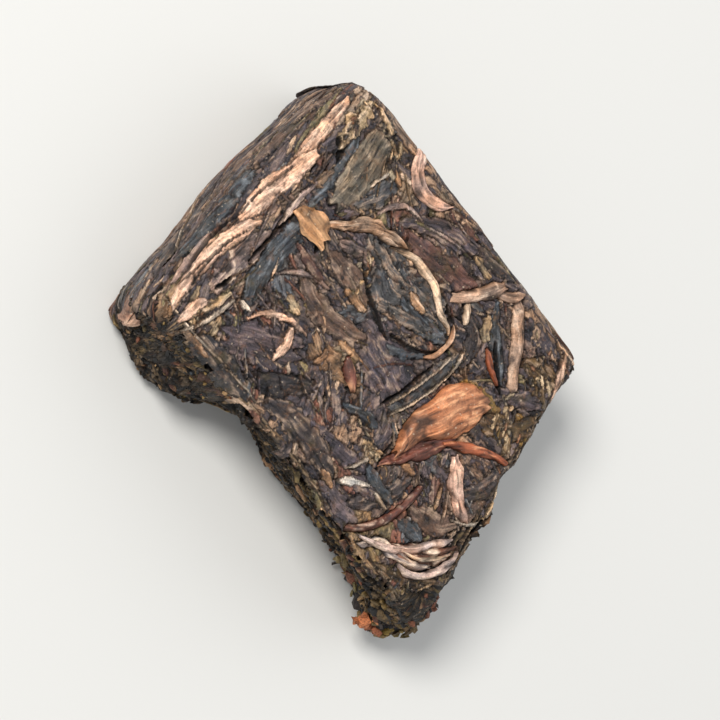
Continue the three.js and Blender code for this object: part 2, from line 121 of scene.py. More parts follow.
class Finish:
    """A material being wired: each call adds one node and gives its output."""

    def __init__(self, name):
        self.material = bpy.data.materials.new(name)
        self.material.use_nodes = True
        self.tree = self.material.node_tree
        self.tree.nodes.clear()
        output = self.tree.nodes.new("ShaderNodeOutputMaterial")
        self.shader = self.tree.nodes.new("ShaderNodeBsdfPrincipled")
        self.tree.links.new(self.shader.outputs["BSDF"], output.inputs["Surface"])

    def node(self, kind, inputs=(), output=0, **settings):
        """Any node: a socket among the inputs is linked, and another value is set."""
        made = self.tree.nodes.new("ShaderNode" + kind)
        for key, value in settings.items():
            setattr(made, key, value)
        for key, value in dict(inputs).items():
            if isinstance(value, bpy.types.NodeSocket):
                self.tree.links.new(value, made.inputs[key])
            else:
                made.inputs[key].default_value = value
        return made.outputs[output]

    def noise(self, where, scale, stretch=(1, 1, 1), detail=4.0, rough=0.55, twist=0.0):
        """Noise at a scale, drawn finer along the axes that stretch makes larger."""
        vector = self.node("Mapping", {"Vector": where, "Scale": stretch})
        inputs = {"Scale": scale, "Detail": detail, "Roughness": rough, "Distortion": twist}
        return self.node("TexNoise", {"Vector": vector, **inputs})

    def between(self, value, low, high, to_low=0.0, to_high=1.0):
        """A value carried from one range to another, and held at its ends."""
        inputs = {"From Min": low, "From Max": high, "To Min": to_low, "To Max": to_high}
        return self.node("MapRange", {"Value": value, **inputs})

    def sum(self, *terms):
        """The sum of some values, each times its share."""
        total = None
        for value, share in terms:
            inputs = {0: value, 1: share, 2: total if total is not None else 0.0}
            total = self.node("Math", inputs, operation="MULTIPLY_ADD")
        return total

    def times(self, one, other):
        """Two values multiplied."""
        return self.node("Math", {0: one, 1: other}, operation="MULTIPLY")

    def mixed(self, share, one, other, blend="MIX"):
        """One colour with a share of another laid over it."""
        inputs = {0: share, 6: one, 7: other}
        return self.node("Mix", inputs, output=2, data_type="RGBA", blend_type=blend)

    def set(self, **inputs):
        """Sets or links the shader's own sockets."""
        for key, value in inputs.items():
            socket = self.shader.inputs[key.replace("_", " ")]
            if isinstance(value, bpy.types.NodeSocket):
                self.tree.links.new(value, socket)
            else:
                socket.default_value = value


dust = Finish("pressed leaf dust")
where = dust.node("TexCoord", output="Object")
grit = dust.noise(where, 2600, detail=6, rough=0.7)
patch = dust.noise(where, 500, detail=3)
ground = dust.mixed(dust.between(grit, 0.42, 0.7), seen(22, 17, 15), seen(66, 52, 40))
dust.set(
    Base_Color=dust.mixed(dust.between(patch, 0.55, 0.75, 0, 0.6), ground, seen(70, 62, 36)),
    Roughness=dust.between(grit, 0.3, 0.7, 0.95, 0.7),
    Normal=dust.node("Bump", {"Strength": 0.9, "Distance": 0.00012, "Height": grit}),
)
heart.data.materials.clear()
heart.data.materials.append(dust.material)
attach(heart, "root")
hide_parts("tea_piece")

# ---- Orange and rust leaves ----
# A few buds and leaf ends dried to a bright orange tan. They lie over the skin or stand out of it, so
# they went into the mould last, against its lid. Dried leaf, held by the leaves they are pressed into.
ORANGE = [seen(150, 96, 64), seen(132, 72, 46), seen(152, 112, 76), seen(98, 56, 44)]


def leaf_at(x, y, heading, length, width, bend=0, **more):
    """One leaf, in mm and degrees: its middle on the flat sheet, heading, length, width and bend."""
    return {"x": x, "y": y, "heading": heading, "length": length, "width": width, "bend": bend, **more}


ORANGE_LEAVES = {
    "big_leaf": leaf_at(
        0.9, 8.2, 160, 12.6, 4.7, -36, rise=0.8, proud=0.4, lift=0.5, blunt=0.42, cup=-0.5,
        ragged=0.08, taper=0.62, furrow=0.16,
    ),
    "flake": leaf_at(
        -3.4, -18.4, 85, 3.8, 3.4, rise=0.3, proud=0.5, lift=1.2, blunt=0.75, tone=2, ragged=0.25,
    ),
    "red_stick": leaf_at(-0.2, 14.4, 119, 8.5, 1.1, -33, rise=0.5, proud=0.45, blunt=0.5, tone=1),
    "thin_stick": leaf_at(-8.3, 9.3, 66, 4.6, 0.7, rise=0.4, proud=0.3, blunt=0.5, tone=1),
    "rust_tip": leaf_at(4.9, -3.2, 55, 3.8, 1.3, 10, rise=0.4, proud=0.15, tone=3),
    "under_big": leaf_at(4.2, 9.4, 153, 11.5, 1.9, -10, rise=0.45, proud=0.2, tone=3),
}

# These and all later leaves lie in one skin, as the mould's lid and walls pressed it. It is worked out
# flat, as a sheet that turns down over the rim at -Y and the flank at -X, and is then set on the
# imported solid's own form, which is met along rays from just outside it.
PRESSED_TOP = 15.0                                    # the height of the mould's lid
SKIN_PITCH = 0.5                                      # the cells of the grid of the skin's form
RIM = {"on": (0, low[1] + 5.7), "out": (0, -1), "round": 4.5}
FLANK = {"on": (low[0] + 3.1, -6.0), "out": (-0.997, 0.08), "round": 1.7}
SHEET = {"u": (low[0] - 16, high[0] + 1), "v": (low[1] - 14, high[1] + 2)}
STEEPEST = 1.45                                       # radians: the skin's tilt is held short of upright
SKIN_RAY = {"from": 6, "reach": 11}
CROWN = {"below": 0.3, "most": 0.5, "soft": 0.8}      # eases leaves that stand above the solid's top
FOOT = 0.02                                           # the lowest that leaf comes to the floor

solid_rays = BVHTree.FromPolygons(
    [v.co / MM for v in solid.data.vertices], [tuple(p.vertices) for p in solid.data.polygons]
)


def struck(points, directions, reach):
    """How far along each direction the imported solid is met, from each point; nan where it isn't."""
    found = np.full(len(points), np.nan)
    for i, (point, direction) in enumerate(zip(points, directions)):
        hit = solid_rays.ray_cast(Vector(point), Vector(direction), reach)
        if hit[0] is not None:
            found[i] = hit[3]
    return found


def strays(spots, reach):
    """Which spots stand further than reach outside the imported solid."""
    out = []
    for spot in spots.reshape(-1, 3):
        near, facing, _, gap = solid_rays.find_nearest(Vector(spot))
        out.append(gap > reach and (Vector(spot) - near).dot(facing) > 0)
    return np.array(out).reshape(spots.shape[:-1])


def filled(grid):
    """A grid with its nan cells filled from the cells beside them."""
    while np.isnan(grid).any():
        padded = np.pad(grid, 1, mode="edge")
        around = np.stack([padded[:-2, 1:-1], padded[2:, 1:-1], padded[1:-1, :-2], padded[1:-1, 2:]])
        known = ~np.isnan(around)
        total = np.where(known, around, 0).sum(0)
        count = known.sum(0)
        fresh = np.isnan(grid) & (count > 0)
        grid[fresh] = total[fresh] / count[fresh]
    return grid


def calmed(grid, reach, rounds=2):
    """The median of a grid over a square, then its mean: relief narrower than the square goes."""
    padded = np.pad(grid, reach, mode="edge")
    span = range(2 * reach + 1)
    rows, columns = grid.shape
    grid = np.median([padded[i : i + rows, j : j + columns] for i in span for j in span], 0)
    for _ in range(rounds):
        padded = np.pad(grid, 1, mode="edge")
        grid = np.mean([padded[i : i + rows, j : j + columns] for i in range(3) for j in range(3)], 0)
    return grid


def read(grid, along, across):
    """A grid's value at fractional rows and columns."""
    along = np.clip(along, 0, grid.shape[0] - 1.001)
    across = np.clip(across, 0, grid.shape[1] - 1.001)
    i, j = along.astype(int), across.astype(int)
    f, g = along - i, across - j
    near = grid[i, j] * (1 - g) + grid[i, j + 1] * g
    far = grid[i + 1, j] * (1 - g) + grid[i + 1, j + 1] * g
    return near * (1 - f) + far * f


def moulded(u, v):
    """Where a point of the flat sheet lies in the mould, and which way is out of the skin there."""
    place = np.stack([u, v, np.full(u.shape, PRESSED_TOP)], -1).astype(float)
    way = np.zeros(place.shape)
    way[..., 2] = 1
    for edge in (RIM, FLANK):
        out, bend = edge["out"], edge["round"]
        beyond = np.maximum(0, (u - edge["on"][0]) * out[0] + (v - edge["on"][1]) * out[1])
        turn = np.minimum(beyond / bend, math.pi / 2)
        shift = bend * np.sin(turn) - beyond
        steep = np.tan(np.minimum(turn, STEEPEST))
        for axis in (0, 1):
            place[..., axis] += out[axis] * shift
            way[..., axis] += out[axis] * steep
        place[..., 2] -= bend * (1 - np.cos(turn)) + np.maximum(0, beyond - bend * math.pi / 2)
    return place, way / np.linalg.norm(way, axis=-1, keepdims=True)


sheet_u = np.arange(*SHEET["u"], SKIN_PITCH)
sheet_v = np.arange(*SHEET["v"], SKIN_PITCH)
place, way = (a.reshape(-1, 3) for a in moulded(*np.meshgrid(sheet_u, sheet_v, indexing="ij")))
skin_form = SKIN_RAY["from"] - struck(place + SKIN_RAY["from"] * way, -way, SKIN_RAY["reach"])
skin_form = skin_form.reshape(len(sheet_u), len(sheet_v))
skin_met = ~np.isnan(skin_form) * 1.0
skin_form = calmed(filled(skin_form), 3)


def on_skin(u, v, off):
    """The point on the piece for a point of the flat sheet, so far off the pressed surface."""
    place, way = moulded(u, v)
    form = read(skin_form, (u - sheet_u[0]) / SKIN_PITCH, (v - sheet_v[0]) / SKIN_PITCH)
    spot = place + way * (form + off)[..., None]
    above = np.maximum(0, spot[..., 2] - high[2] + CROWN["below"])
    eased = spot[..., 2] - above + CROWN["most"] * np.tanh(above / CROWN["soft"])
    spot[..., 2] = np.maximum(eased, FOOT)
    return spot


# The skin ends where two sides were snapped off by hand. Their line runs from the rim corner along +X
# to the toe, and back along +Y to the flank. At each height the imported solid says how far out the
# broken face stands.
BREAK_STOPS = [
    (16.2, -30), (16.6, -22), (16.1, -15), (15.5, -5), (16.1, 4), (17.5, 14.5),
    (18.1, 24.8), (9.5, 22.2), (-1.5, 19.8), (-16.7, 17.3), (-22.0, 17.0),
]
BREAK_STEP = 0.5                      # the cells of the grid of the broken faces, along and up
LEVEL_STEP = 0.5
BREAK_RAY = {"from": 8, "reach": 14}
CORNER_AT = {"rim": low[1] + 3.5, "flank": low[0] + 4.5}
TORN_LEVEL = 13.6                     # the height at which the torn edge of the skin follows the face
TORN_JAGS = ((4, 0.5), (1.6, 0.3))    # the edge's tears: points to a knot, and depth
TOE = {"at": (18.6, 26.4), "reach": 5.6}

line = np.array(BREAK_STOPS, float)
for _ in range(3):
    early = line[:-1] * 0.75 + line[1:] * 0.25
    late = line[:-1] * 0.25 + line[1:] * 0.75
    line = np.concatenate([line[:1], np.stack([early, late], 1).reshape(-1, 2), line[-1:]])
walked = np.concatenate([[0], np.cumsum(np.linalg.norm(np.diff(line, axis=0), axis=1))])
stations = np.arange(0, walked[-1], BREAK_STEP)
line = np.stack([np.interp(stations, walked, line[:, i]) for i in (0, 1)], -1)
run = np.gradient(line, axis=0)
run /= np.linalg.norm(run, axis=1, keepdims=True)
line_out = np.stack([run[:, 1], -run[:, 0]], -1)
levels = np.arange(0.25, PRESSED_TOP, LEVEL_STEP)
start = np.array([(*(p + BREAK_RAY["from"] * n), z) for p, n in zip(line, line_out) for z in levels])
inward = np.array([(-n[0], -n[1], 0) for n in line_out for z in levels])
break_form = BREAK_RAY["from"] - struck(start, inward, BREAK_RAY["reach"]).reshape(len(line), len(levels))
break_met = ~np.isnan(break_form) * 1.0
break_form = calmed(filled(break_form), 2, rounds=1)
first_station = int(np.argmax(line[:, 1] > CORNER_AT["rim"])) * BREAK_STEP
last_station = (len(line) - 1 - int(np.argmax(line[::-1, 0] > CORNER_AT["flank"]))) * BREAK_STEP


def on_break(along, level, out):
    """The point at a distance along the breaks and a height, so far out of the broken face."""
    at = np.clip(along / BREAK_STEP, 0, len(line) - 1)
    index = np.arange(len(line))
    form = read(break_form, at, (level - levels[0]) / LEVEL_STEP)
    spot = [
        np.interp(at, index, line[:, i]) + np.interp(at, index, line_out[:, i]) * (form + out)
        for i in (0, 1)
    ]
    return np.stack([*spot, np.maximum(level, FOOT)], -1)


kept = np.clip(np.arange(len(line)), first_station / BREAK_STEP, last_station / BREAK_STEP)
torn_level = np.full(len(line), (TORN_LEVEL - levels[0]) / LEVEL_STEP)
skin_edge = line + line_out * read(break_form, kept, torn_level)[:, None]
edge_random = np.random.default_rng(11)
edge_jag = np.zeros(len(line))
for spacing, size in TORN_JAGS:
    edge_jag += waver(edge_random, (len(line), 1), (len(line) / spacing, 1))[:, 0] * size


def edge_near(u, v):
    """The number of the nearest point on the torn edge of the skin, and how far away it is each way."""
    gap = np.stack([u, v], -1)[..., None, :] - skin_edge
    nearest = np.argmin((gap**2).sum(-1), -1)
    return nearest, np.take_along_axis(gap, nearest[..., None, None], -2)[..., 0, :]


def past_edge(u, v):
    """How far a point of the flat sheet lies past the torn edge of the skin; less than 0 is inside."""
    nearest, away = edge_near(u, v)
    past = (away * line_out[nearest]).sum(-1) - edge_jag[nearest]
    toe = TOE["reach"] - np.hypot(u - TOE["at"][0], v - TOE["at"][1])
    return np.maximum(past, toe)


# A leaf is a thin wavy solid: rolled or folded along its length, wrinkled, its ends tapered or torn.
# The leaves at the mould's face are laid first, and each later one is pressed in under them: the
# ceiling is a grid of how far off the pressed surface the next leaf may reach.
CEILING_PITCH = 0.2
LEAF_GAP = 0.05                           # left between a leaf and the one over it
DEEPEST = -0.3                            # no leaf's middle is pressed in further than this
END_DIP = 0.3                             # how far a leaf's ends turn down
TORN_SHOWS = 0.25                         # how much of a leaf stands past the torn edge
TORN_DIP = {"slope": 0.9, "most": 1.2}    # how it droops there
SEED_STEP = 37                            # keeps the grain of one leaf away from the next one's
BACK_EDGES = [0, -1]                      # a leaf's flat back has its two long edges alone
CREASE = math.radians(65)
LEAF_MARKS = {                            # what the finish reads at each point of a leaf
    "leaf": ("FLOAT_VECTOR", "vector"), "lie": ("FLOAT_VECTOR", "vector"), "tone": ("FLOAT_COLOR", "color"),
}

ceiling_size = [int((SHEET[k][1] - SHEET[k][0]) / CEILING_PITCH) + 2 for k in "uv"]
ceiling = np.full(ceiling_size, np.inf)
grain_table = waver(np.random.default_rng(12), (1025, 1025), (128, 128))


def grain(along, across):
    """Smooth noise from -1 to 1, with a knot for each unit of either number."""
    along, across = np.broadcast_arrays(along, across)
    return read(grain_table, (along * 8.0) % 1023, (across * 8.0) % 1023)


def thread(noise, width):
    """Thin lines, from 0 to 1, where smooth noise passes through nothing."""
    return np.clip(1 - np.abs(noise) / width, 0, 1)


def furrows(along, across, seed, fine=1.0, loose=1.0):
    """The lengthwise ridges and furrows of a dried leaf, from about -1 to 1."""
    bent = across + 0.4 * loose * grain(along * 0.6 + seed, across * 0.5)
    broad = grain(along * 0.35 + seed, bent * 1.1 + seed)
    narrow = grain(along * 0.8 + 2 * seed, bent * 2.9 + seed)
    cross = grain(along * 1.9 + seed, across * 1.7 + 3 * seed)
    ridge = thread(grain(along * 0.4 + 3 * seed, bent * 1.25), 0.26)
    crack = thread(grain(along * 0.36 + 5 * seed, bent * 1.0), 0.18)
    return 0.55 * broad + 0.45 * fine * narrow + 0.45 * loose * cross + 0.8 * fine * ridge - 0.95 * crack


def streaked_and_shaded(along, across, seed, tone, pale, fibres, fine=1.0, loose=1.0):
    """A leaf's tone in streaks along it, painted darker in the furrows and lighter on the ridges as shade and
    light that follow its relief, with pale fibres on the ridges that are partly its own and partly painted
    highlight.
    """
    ridge = furrows(along, across, seed, fine, loose)[..., None]
    patch = grain(along * 0.5 + seed, across * 0.6 + 5)[..., None]
    hue = grain(along * 0.7 + 2 * seed, across * 1.1 + 9)[..., None] * np.array((0.12, -0.01, -0.15))
    # painted shade and light: the tone is darkened in the furrows and lightened on the ridges of the relief
    colour = np.array(tone[:3]) * np.clip(0.95 + 0.72 * ridge + 0.38 * patch, 0.18, 2.2) * (1 + hue)
    # pale on the ridges: partly the leaf's own fibres, partly painted highlight
    share = np.clip((ridge - 0.35) * 1.8, 0, 1) * fibres
    colour = colour * (1 - share) + np.array(pale[:3]) * share
    return np.concatenate([colour, np.ones((*colour.shape[:-1], 1))], -1)


def leaf_shape(random, length, width, rise=0.45, bend=0, blunt=0.3, crown=0.8, power=5, furrow=0.13,
               wrinkle=0.2, cup=0.0, sway=0.05, ragged=0.3, coarse=1.0, taper=0.0, loose=1.0):
    """A leaf as a grid: its place along and across in mm, and how far each point lies below its crest.

    It falls by rise from crest to side, as crown and power shape it. Furrow and wrinkle are its relief,
    cup hollows it, blunt keeps its ends wide, and taper makes one end wider. Bend curves it by so many
    degrees, sway bends it at random, and ragged frays its sides.
    """
    rows = int(np.clip(length / (0.22 * coarse), 9, 90))
    columns = int(np.clip(width / (0.12 * coarse), 6, 40))
    s = np.linspace(-0.5, 0.5, rows)[:, None]
    t = np.linspace(-1, 1, columns)[None, :]
    body = np.maximum(blunt, (1 - np.abs(2 * s) ** random.uniform(2.2, 4)) ** 0.6)
    edges = waver(random, (rows, 2), (length / 1.6, 1)) + 0.5 * waver(random, (rows, 2), (length / 0.7, 1))
    sides = 0.5 * width * body * (1 + ragged * edges) * (1 + 2 * taper * s)
    across = np.where(t < 0, t * sides[:, :1], t * sides[:, 1:])
    torn_end = np.sign(s) * np.abs(2 * s) ** 6 * waver(random, (1, columns), (1, width / 0.6))
    reach = s * length + torn_end * min(1.0, 0.3 * width)
    turn = math.radians(bend if abs(bend) > 1 else 1)
    lean = turn * s
    middle = sway * length * waver(random, (rows, 1), (length / 4 + 1, 1))
    u = np.sin(turn * reach / length) * length / turn - np.sin(lean) * across
    v = (1 - np.cos(turn * reach / length)) * length / turn + middle + np.cos(lean) * across
    seed = random.uniform(0, 60)
    crest = 1 - crown * np.abs(t) ** power + cup * (np.abs(t) ** 2 - 1)
    crest = crest + wrinkle * waver(random, (rows, columns), (length / 2.2, width / 1.4 + 1))
    ribs = furrow * furrows(reach, across, seed, loose=loose)
    height = rise * (crest - 1) - END_DIP * np.abs(2 * s) ** 10 + ribs
    marks = {"along": reach + 0 * t, "across": across, "t": t + 0 * s, "seed": seed}
    return {"u": u, "v": v, "height": height, **marks}


def turned(shape, x, y, heading):
    """A leaf's grid turned to its heading and moved to its place on the flat sheet."""
    c, s = math.cos(math.radians(heading)), math.sin(math.radians(heading))
    u, v = shape["u"], shape["v"]
    return {**shape, "u": x + c * u - s * v, "v": y + s * u + c * v}


def spread(grid, reach, axis, take):
    """The lowest or the mean value, as take gives it, within so many cells along an axis."""
    size = grid.shape[axis]
    pad = [(reach, reach) if i == axis else (0, 0) for i in (0, 1)]
    padded = np.pad(grid, pad, mode="edge")
    return take([np.take(padded, range(i, i + size), axis) for i in range(2 * reach + 1)], 0)


def cells(u, v):
    """The cells of the ceiling that points of the flat sheet lie in."""
    i = np.clip(((u - SHEET["u"][0]) / CEILING_PITCH).round().astype(int), 0, ceiling_size[0] - 1)
    j = np.clip(((v - SHEET["v"][0]) / CEILING_PITCH).round().astype(int), 0, ceiling_size[1] - 1)
    return i, j


def finer(grid, times=3):
    """The same grid with more rows and columns, so that it leaves no cell of the ceiling out."""
    rows, columns = grid.shape
    return read(
        grid,
        np.linspace(0, rows - 1, rows * times)[:, None] + np.zeros((1, columns * times)),
        np.linspace(0, columns - 1, columns * times)[None, :] + np.zeros((rows * times, 1)),
    )


def pressed(shape, proud, thin):
    """Presses a leaf against the mould or the leaves already there, and tears it at the skin's edge."""
    u, v = shape["u"], shape["v"]
    over = np.minimum(ceiling[cells(u, v)] - LEAF_GAP, proud)
    for axis in (0, 1):
        over = spread(over, 2, axis, np.min)
    for axis, reach in ((0, 2), (1, 1), (0, 1)):
        over = spread(over, reach, axis, np.mean)
    off = np.maximum(over, DEEPEST) + shape["height"]
    torn = np.maximum(0, past_edge(u, v))
    if torn.max() > 0:
        nearest = edge_near(u, v)[0]
        back = torn - TORN_SHOWS * np.tanh(torn)
        u = u - line_out[nearest][..., 0] * back
        v = v - line_out[nearest][..., 1] * back
        off = off - np.minimum(TORN_DIP["slope"] * torn, TORN_DIP["most"])
    under = finer(off - thin)
    np.minimum.at(ceiling, cells(finer(u), finer(v)), under)
    return {**shape, "u": u, "v": v, "off": off}


def surfaced(shape, thin, on=on_skin, **extra):
    """A pressed leaf with its upper face and the two edges of its back set on the piece."""
    u, v, off = shape["u"], shape["v"], shape["off"]
    back = on(u[:, BACK_EDGES], v[:, BACK_EDGES], off[:, BACK_EDGES] - thin)
    return {**shape, **extra, "top": on(u, v, off), "back": back}


def leaf_mesh(name, spots, corners, counts, marks, finish):
    """An object of pressed leaf, with the marks that its finish reads at each point."""
    mesh = bpy.data.meshes.new(name)
    mesh.vertices.add(len(spots))
    mesh.vertices.foreach_set("co", (spots * MM).reshape(-1))
    mesh.loops.add(len(corners))
    mesh.loops.foreach_set("vertex_index", corners)
    mesh.polygons.add(len(counts))
    mesh.polygons.foreach_set("loop_start", np.concatenate([[0], np.cumsum(counts)[:-1]]))
    mesh.polygons.foreach_set("use_smooth", np.ones(len(counts), bool))
    mesh.update(calc_edges=True)
    for key, (kind, field) in LEAF_MARKS.items():
        mesh.attributes.new(key, kind, "POINT").data.foreach_set(field, marks[key].reshape(-1))
    mesh.materials.append(finish.material)
    made = new_object(name, mesh)
    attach(made, "root")
    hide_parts("tea_piece")
    return made


def leaf_object(name, leaves, finish):
    """One object of closed leaves: each its upper face, thin edges, torn ends and a flat back."""
    spots, quads, ends = [], [], []
    marks = {key: [] for key in LEAF_MARKS}
    first = 0
    for leaf in leaves:
        top, back = leaf["top"], leaf["back"]
        rows, columns = top.shape[:2]
        up = first + np.arange(rows * columns).reshape(rows, columns)
        down = first + rows * columns + np.arange(rows * 2).reshape(rows, 2)
        first += rows * (columns + 2)
        for a, b, c, d in (
            (up[:-1, :-1], up[1:, :-1], up[1:, 1:], up[:-1, 1:]),
            (up[:-1, 0], down[:-1, 0], down[1:, 0], up[1:, 0]),
            (up[:-1, -1], up[1:, -1], down[1:, 1], down[:-1, 1]),
            (down[:-1, 0], down[:-1, 1], down[1:, 1], down[1:, 0]),
        ):
            quads.append(np.stack([a, b, c, d], -1).reshape(-1, 4))
        ends.append([*up[0], down[0, 1], down[0, 0]])
        ends.append([*up[-1][::-1], down[-1, 0], down[-1, 1]])
        spots += [top.reshape(-1, 3), back.reshape(-1, 3)]
        for part in (slice(None), BACK_EDGES):
            along, across, t, off = (leaf[k][:, part].reshape(-1) for k in ("along", "across", "t", "off"))
            tone = np.broadcast_to(leaf["tone"], (*leaf["t"].shape, 4))[:, part]
            seed = np.full(along.shape, SEED_STEP * leaf["seed"])
            edging = np.full(along.shape, leaf["edging"])
            marks["leaf"].append(np.stack([along, across, seed], -1))
            # -off is how deep the leaf lies; the finish paints shade with it
            marks["lie"].append(np.stack([np.abs(t), -off, edging], -1))
            marks["tone"].append(tone.reshape(-1, 4))
    quads = np.concatenate(quads)
    corners = np.concatenate([quads.reshape(-1), *[np.array(e) for e in ends]])
    counts = np.concatenate([np.full(len(quads), 4), [len(e) for e in ends]])
    marks = {key: np.concatenate(parts) for key, parts in marks.items()}
    made = leaf_mesh(name, np.concatenate(spots), corners, counts, marks, finish)
    made.data.set_sharp_from_angle(angle=CREASE)


def leaf_finish(name, olive=0.3, dull=0.72, gloss=0.4, relief=1.0, mingled=0.6, groove_shade=0.34, sheen=0.5):
    """The finish of dried leaf: its own tones, finely ribbed, flecked and dusted, with painted light and shade on
    its fine relief, pale flecks that are partly painted glints, and painted shade down in the gaps.
    """
    made = Finish(name)
    mark = made.node("Attribute", output="Vector", attribute_name="leaf")
    tone = made.node("Attribute", output="Color", attribute_name="tone")
    lie = made.node("Attribute", output="Vector", attribute_name="lie")
    edge, depth, edging = made.node("SeparateXYZ", {0: lie}).node.outputs
    where = made.node("TexCoord", output="Object")
    rib = made.noise(mark, 1.0, (0.5, 3.6, 1), detail=4, rough=0.6, twist=0.6)
    pucker = made.noise(mark, 1.0, (2.0, 1.6, 1), detail=5, rough=0.65, twist=1.2)
    grit = made.noise(where, 4200, detail=5, rough=0.65)
    blotch = made.noise(where, 420, detail=4, rough=0.6)
    mingle = made.noise(where, 800, detail=5, rough=0.7, twist=0.6)
    fleck_and_glint = made.noise(where, 2600, detail=2, rough=0.4)
    # painted light and shade: the colour is lightened where the bump below is high and darkened, down to the given
    # darkest share, where it is low
    light = made.sum((rib, 1.4), (pucker, 0.9), (grit, 0.6))
    light = made.between(light, 1.12, 1.78, groove_shade, 1.85)
    colour = made.mixed(made.between(mingle, 0.53, 0.68, 0, mingled), tone, seen(112, 78, 54))
    colour = made.mixed(made.between(mingle, 0.46, 0.34, 0, 0.9 * mingled), colour, seen(46, 44, 52))
    colour = made.mixed(1.0, colour, light, "MULTIPLY")
    rim = made.times(made.between(edge, 0.78, 0.97), made.between(pucker, 0.4, 0.58))
    colour = made.mixed(made.times(rim, edging), colour, seen(196, 164, 132))
    colour = made.mixed(made.between(blotch, 0.56, 0.72, 0, olive), colour, seen(112, 94, 52))
    # pale flecks: partly dust and fuzz on the leaf, partly painted glints
    colour = made.mixed(made.between(fleck_and_glint, 0.68, 0.78, 0, 0.7), colour, seen(206, 184, 158))
    # painted shade: the colour goes toward near black the deeper the surface lies below the pressed face
    colour = made.mixed(made.between(depth, 0.3, 1.2, 0, 0.85), colour, seen(16, 13, 12))
    height = made.sum((rib, 0.7), (pucker, 0.7), (grit, 0.3))
    made.set(
        Base_Color=colour,
        Roughness=made.between(made.sum((rib, 0.6), (grit, 0.4)), 0.38, 0.62, dull, gloss),
        Normal=made.node("Bump", {"Strength": 1.0, "Distance": 0.00032 * relief, "Height": height}),
        Specular_IOR_Level=sheen,
    )
    return made


def laid(random, tones, pale, rows, **usual):
    """Shapes and presses named leaves in turn, the uppermost first; proud is how far each stands out."""
    leaves = []
    for row in rows.values():
        settings = {**usual, **row}
        tone = tones[settings.pop("tone", 0)]
        x, y, heading = (settings.pop(k) for k in ("x", "y", "heading"))
        proud, thin = settings.pop("proud", 0.0), settings.pop("thin", 0.2)
        lift, edging = settings.pop("lift", 0), settings.pop("edging", 0.0)
        fibres = settings.pop("fibres", 0.6)
        shape = leaf_shape(random, **settings)
        share = shape["along"] / settings["length"] + 0.5
        shape["height"] = shape["height"] + lift * np.clip(share, 0, 1) ** 1.5
        shape = pressed(turned(shape, x, y, heading), proud, thin)
        loose = settings.get("loose", 1.0)
        shade = streaked_and_shaded(shape["along"], shape["across"], shape["seed"], tone, pale, fibres, 1.0, loose)
        leaves.append(surfaced(shape, thin, tone=shade, edging=edging))
    return leaves


orange_random = np.random.default_rng(31)
orange_leaves = laid(orange_random, ORANGE, seen(214, 162, 120), ORANGE_LEAVES, loose=0.2)
orange_finish = leaf_finish("orange dried leaf", olive=0.0, dull=0.6, relief=0.55, mingled=0.1, groove_shade=0.72)
leaf_object("orange_leaves", orange_leaves, orange_finish)

# ---- Peach and tan leaves ----
# Golden tips and pale leaf edges, rolled thin in the making and pressed in with the rest. They show
# as a fan before the toe, as the pale rims of curled leaves, and as short bars across the top.
PEACH = [
    seen(180, 132, 98), seen(192, 160, 130), seen(160, 128, 106), seen(142, 126, 118),
    seen(184, 156, 142), seen(112, 76, 60), seen(198, 156, 134), seen(172, 136, 108),
]
PEACH_LEAVES = {
    "fan_line": leaf_at(13.2, 18.5, 128, 6.4, 0.45, 51, rise=0.4, proud=0.55, tone=1),
    "fan_top": leaf_at(13.7, 15.8, 131, 12.4, 0.95, 46, rise=0.6, proud=0.5, tone=4, furrow=0.2),
    "fan_low": leaf_at(13.9, 20.1, 142, 9.4, 1.0, 114, rise=0.6, proud=0.55, tone=4, furrow=0.2),
    "fan_side": leaf_at(
        15.2, 15.6, 114, 10.4, 1.5, -3, rise=0.7, proud=0.45, tone=3, furrow=0.3, fibres=1.0,
    ),
    "fan_inner": leaf_at(
        13.2, 18.0, 131, 8.4, 2.6, 48, rise=0.5, proud=0.3, tone=5, furrow=0.34, fibres=1.0,
    ),
    "splint": leaf_at(4.8, 15.8, 53, 8.2, 1.7, 30, rise=0.6, proud=0.45, tone=6, blunt=0.5),
    "bar": leaf_at(-13.1, 2.4, 145, 7.2, 1.6, 22, tone=2, rise=0.5, proud=0.35, blunt=0.6),
    "bar_end": leaf_at(-15.7, 5.2, 118, 3.6, 1.3, 67, tone=2, rise=0.5, proud=0.3, blunt=0.5),
    "bar_foot": leaf_at(-10.4, 2.6, 36, 2.4, 0.7, 37, rise=0.35, proud=0.25, tone=1, blunt=0.5),
    "hook": leaf_at(-16.6, -11.6, 72, 9.8, 2.0, 140, rise=0.5, proud=0.3, blunt=0.4, taper=-0.3, tone=6),
    "curl_top": leaf_at(
        -8.4, -13.2, 121, 10.6, 1.9, -51, rise=0.5, proud=0.2, tone=7, ragged=0.4, furrow=0.24,
        sway=0.02,
    ),
    "curl_side": leaf_at(-9.7, -3.2, 79, 13.0, 1.0, -70, rise=0.4, proud=0.25, tone=1),
    "curl_foot": leaf_at(-5.4, 3.4, -8, 6.0, 0.6, -90, rise=0.3, proud=0.15),
}
KNOB = {"along": first_station - 0.8, "level": 6.2, "out": 0.8, "heading": 70, "length": 3.2, "width": 2.9}
peach_random = np.random.default_rng(32)
peach_leaves = laid(peach_random, PEACH, seen(220, 196, 172), PEACH_LEAVES, loose=0.5)
knob = leaf_shape(
    peach_random, KNOB["length"], KNOB["width"], rise=1.3, crown=1.1, power=2, blunt=0.7, furrow=0.3,
)
knob = turned(knob, KNOB["along"], KNOB["level"], KNOB["heading"])
knob["off"] = KNOB["out"] + knob["height"]
knob_tone = streaked_and_shaded(
    knob["along"], knob["across"], knob["seed"], seen(128, 94, 76), seen(192, 160, 136), 0.9,
)
